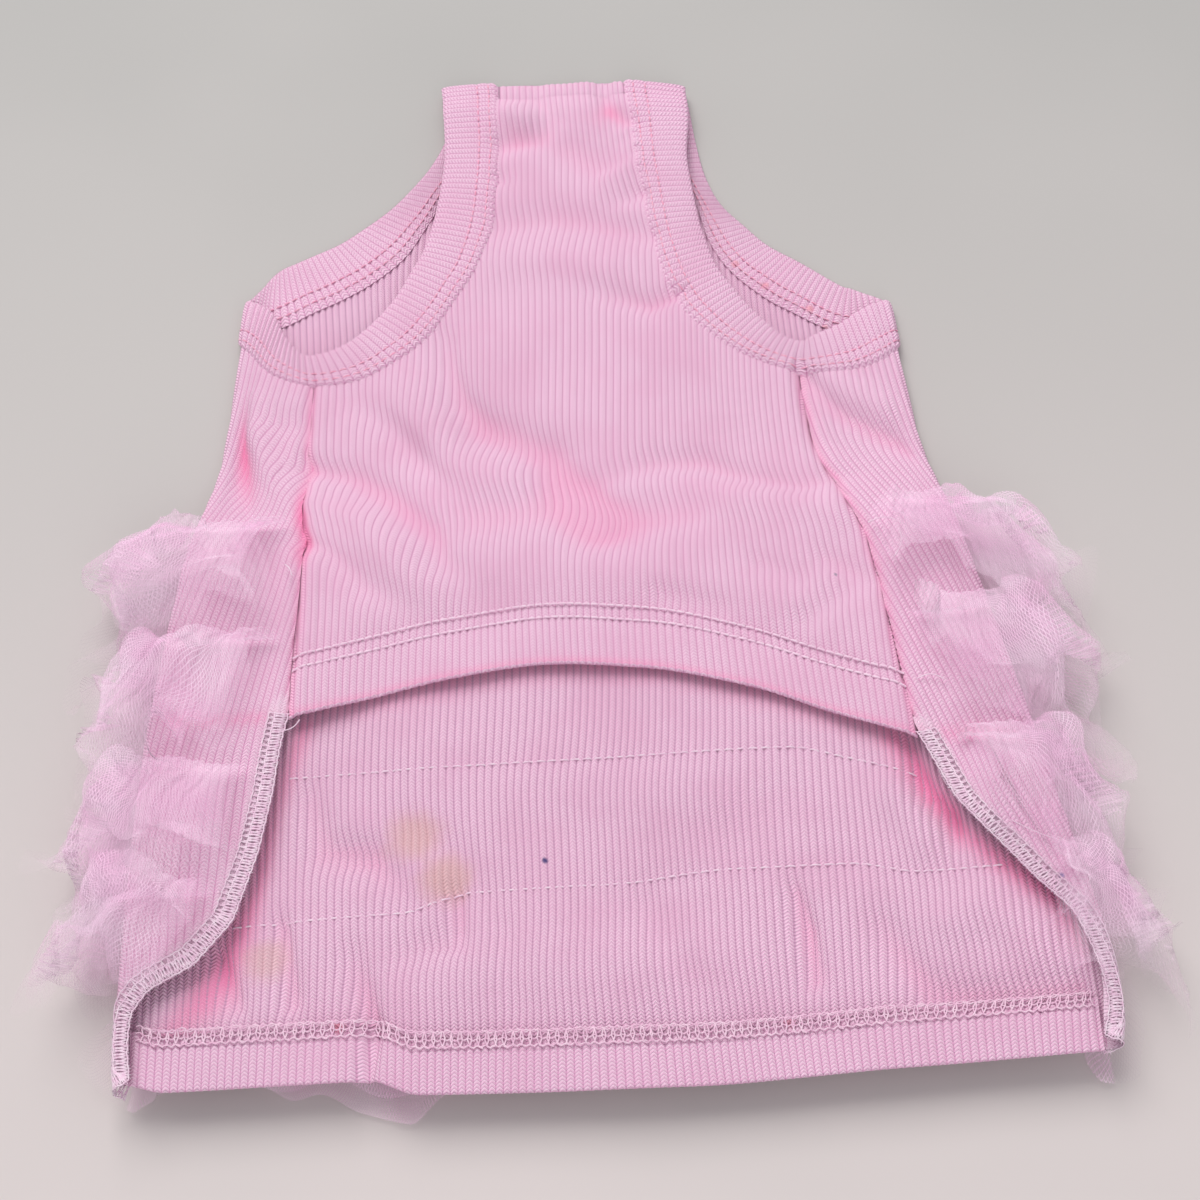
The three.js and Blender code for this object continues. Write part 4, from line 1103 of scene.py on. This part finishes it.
class Ruffle:
    """Where one row of net is sewn on and where its free edge lies, from end to end."""

    def __init__(self, number, line, left, right):
        half = np.concatenate([np.linspace(0, 0.5, 60)[:-1], np.linspace(0.5, 1, 330)])
        self.number = number
        self.last = number == len(RUFFLES)
        self.reach = np.concatenate([half[:0:-1], half])
        side = np.concatenate([np.full(len(half) - 1, -1), np.ones(len(half), int)])
        share = np.minimum(self.reach / 0.5, 1)
        foot_y = line - RUFFLE_LENGTH * self.hang(side)
        sewn = sewn_at(self.reach)
        short = np.where(side < 0, self.flap_end(line, -1), self.flap_end(line, 1)) / FLAP_REACH
        s = share * (flat_to(line, side) + sewn * np.where(sewn > 0, short, 1))
        self.top = cloth(side * s, np.full(len(side), float(line)), 1.9)
        flare = np.where(side < 0, left, right) * flare_at(self.reach)
        foot_x = side * share * (flat_to(foot_y, side) + flare)
        if self.last:
            tucked = 1 - 1.35 * hill(foot_x + 57, 26)
            foot_y = foot_y + 9 * ease((0.55 - self.reach) / 0.1) * tucked
        self.foot = np.stack([foot_x, foot_y, height_at(self.reach)], -1)

    def hang(self, side):
        """How far the net hangs below its stitching, and above the hem in the last row."""
        hang = hang_at(self.reach) + LEFT_HANG * ease((self.reach - 0.85) / 0.1) * (side < 0)
        if not self.last:
            return hang
        most = np.where(side < 0, 0.42, 0.52)
        return hang - np.maximum(hang - most, 0) * ease((self.reach - 0.54) / 0.06)

    def flap_end(self, line, side):
        """How far the row runs past the side fold: to the seam, or short of the overlocked edge."""
        bare = EDGE_BARE if line < 100 else 0
        flap_x = max(smooth(CUTS[side], 0, 1)(line), seam_x[side](line)) + bare
        return min(float(along(flap_x, line, side, "upper") - flat_to(line, side)), FLAP_REACH)

    def crumple(self, kind, shortest, longest, seed, base):
        return Crumple(kind * self.number + seed, shortest, longest).at(base)

    def sheet(self, build, puff, length, drop, seed):
        """One crumpled sheet of net between the stitching and the free edge."""
        reach, v = self.reach[:, None], np.linspace(0, 1, RUFFLE_ROWS)[None, :]
        flap = ease((reach - 0.84) / 0.12)
        free = ease((reach - 0.6) / 0.1)
        base = self.top[:, None] + (self.foot - self.top)[:, None] * (v[0] * length)[None, :, None]
        base[..., 1] -= drop * (1 - flap) * free * v**1.5
        up = free * (PUFF_UP - 6 * flap) * (1 + 0.35 * self.crumple(70, 15, 40, seed, base))
        base[..., 1] += up * np.sin(math.pi * np.minimum(1.25 * v, 1))
        edge = lengths(base[:, -1])[:, None]
        shown = 0.25 + 0.75 * ease((reach - 0.5) / 0.12)
        push = self.gathers(edge, v, seed, base) + self.creases(v, seed, base)
        push = push + puff * np.sin(math.pi * np.minimum(v * 1.2, 1)) ** 0.6
        points = base + self.outward(base) * (shown * push)[..., None]
        for axis, far in ((0, 5.0), (1, 7.0)):
            slide = Crumple(30 * self.number + 3 * axis + seed, 12, 45).at(base) * v**1.5
            points[..., axis] += far * shown * slide
        points[..., 2] = np.maximum(points[..., 2], 0.4)
        fade = ease((v - 0.5) / 0.5)
        thin = 1 - 0.9 * fade * (1 - flap) - 0.75 * fade * flap
        thin = thin * (1 - 0.5 * ease((reach - 0.96) / 0.04))
        thin = np.where(reach < 0.55, 1, thin) * (0.85 if drop > 0 else 1.0)
        build.grid(points, 2.2 * edge, v * RUFFLE_LENGTH * length, mark=thin)

    def outward(self, base):
        """The directions off a sheet, away from the garment."""
        normal = np.cross(np.gradient(base, axis=0), np.gradient(base, axis=1))
        normal /= np.linalg.norm(normal, axis=2, keepdims=True) + 1e-9
        facing = np.where(self.reach > 0.75, 1, -1)[:, None, None]
        return np.where(normal[..., 2:3] * facing < 0, -normal, normal)

    def gathers(self, edge, v, seed, base):
        """Waves of three sizes along the row: the finest at the stitching, the widest at the free edge."""
        wander = 2.2 * self.crumple(40, 22, 60, seed, base) * (0.3 + v)
        wide = np.sin(2 * math.pi * edge / 13 + wander)
        middle = np.sin(2 * math.pi * edge / 5.3 + 1.7 * wander + 1.3)
        fine = np.sin(2 * math.pi * edge / 2.5 + 0.5 * wander)
        return 1.2 * v * wide + 0.5 * (0.5 + 0.5 * v) * middle + 0.3 * (1 - v) ** 0.7 * fine

    def creases(self, v, seed, base):
        """Soft swells and sharper folds, stronger towards the free edge."""
        soft = self.crumple(10, 18, 50, seed, base)
        sharp = 0.7 - np.abs(self.crumple(20, 10, 26, seed, base))
        small = 0.7 - np.abs(self.crumple(60, 5, 12, seed, base))
        return (0.15 + v) * (1.8 * soft + 1.1 * sharp) + 0.3 * v**0.5 * small


def tulle_tier(number, line, left, right):
    """One row of gathered net, folded double along its free edge."""
    build = Build()
    ruffle = Ruffle(number, line, left, right)
    ruffle.sheet(build, 5.0, 0.95, 0, 1)
    ruffle.sheet(build, 0.5, 1.0, LAST_DROP if ruffle.last else DROP, 2)
    piece = build.piece(f"tulle_tier_{number}_net", [NET], f"tulle_tier_{number}", "tulle")


def floor():
    """A plain pale floor with painted light fall-off: lighter and a little warmer near the camera, darker
    grey far from it.
    """
    nodes = Nodes("pale_floor")
    py = nodes.split(nodes.place())[1]
    # Painted light fall-off: the floor's colour darkens towards the far side
    grey = nodes.blend(nodes.between(py, -0.3, 0.25), colour("E0D5D3"), colour("B4B2AF"))
    cloud = nodes.between(nodes.noise(6, 2), 0.35, 0.7, 0.1, 0.35)
    tint = nodes.blend(cloud, grey, colour("C9C4C1"))
    nodes.set(Base_Color=tint, Roughness=0.75, Specular_IOR_Level=0.2)
    bpy.ops.mesh.primitive_plane_add(size=6)
    plane = bpy.context.object
    plane.name = "floor"
    plane.data.materials.append(nodes.material)


def aim(name, data, place, way):
    """Puts a lamp or camera at a place, facing along a direction."""
    obj = bpy.data.objects.new(name, data)
    bpy.context.scene.collection.objects.link(obj)
    obj.location = place
    obj.rotation_euler = Vector(way).to_track_quat("-Z", "Y").to_euler()
    return obj


def light(name, place, size, power, tint):
    """A square lamp that faces the garment."""
    lamp = bpy.data.lights.new(name, "AREA")
    lamp.size = size
    lamp.energy = power
    lamp.color = tint
    aim(name, lamp, place, -Vector(place))


def studio():
    """Soft light from above the neck, a weak one from the hem's side and an even pale surround."""
    light("key", (-0.5, 1.3, 1.75), 1.6, 40, (1.0, 0.985, 0.97))
    light("fill", (0.3, -1.6, 1.0), 1.6, 9, (1.0, 0.98, 0.99))
    world = bpy.data.worlds.new("studio")
    bpy.context.scene.world = world
    world.use_nodes = True
    background = world.node_tree.nodes["Background"].inputs
    background["Color"].default_value = (0.93, 0.95, 1.0, 1)
    background["Strength"].default_value = 0.44
    bpy.context.scene.cycles.transparent_max_bounces = 14
    bpy.context.scene.cycles.diffuse_bounces = 2
    bpy.context.scene.view_settings.view_transform = "Standard"


# The camera, fitted to the photograph: place in garment coordinates, pitch down, turn and lens
CAMERA_AT = (-10.1, -124.0, 495.9)
CAMERA_PITCH = 62
CAMERA_TURN = 0.047
SENSOR = 36
LENS = 58.8


def camera():
    """The camera at the photograph's place and direction."""
    pitch = math.radians(CAMERA_PITCH)
    look = (CAMERA_TURN * math.cos(pitch), 0.999 * math.cos(pitch), -math.sin(pitch))
    data = bpy.data.cameras.new("camera")
    data.sensor_width = SENSOR
    data.lens = LENS
    bpy.context.scene.camera = aim("camera", data, (np.array(CAMERA_AT) + SHIFT) * MM, look)


back_panel()
belly_panel()
armhole_band("armhole_band_left_cloth", "armhole_band_left", -1)
armhole_band("armhole_band_right_cloth", "armhole_band_right", 1)
neck_band()
for i, row in enumerate(RUFFLES):
    tulle_tier(i + 1, *row)
floor()
camera()
studio()
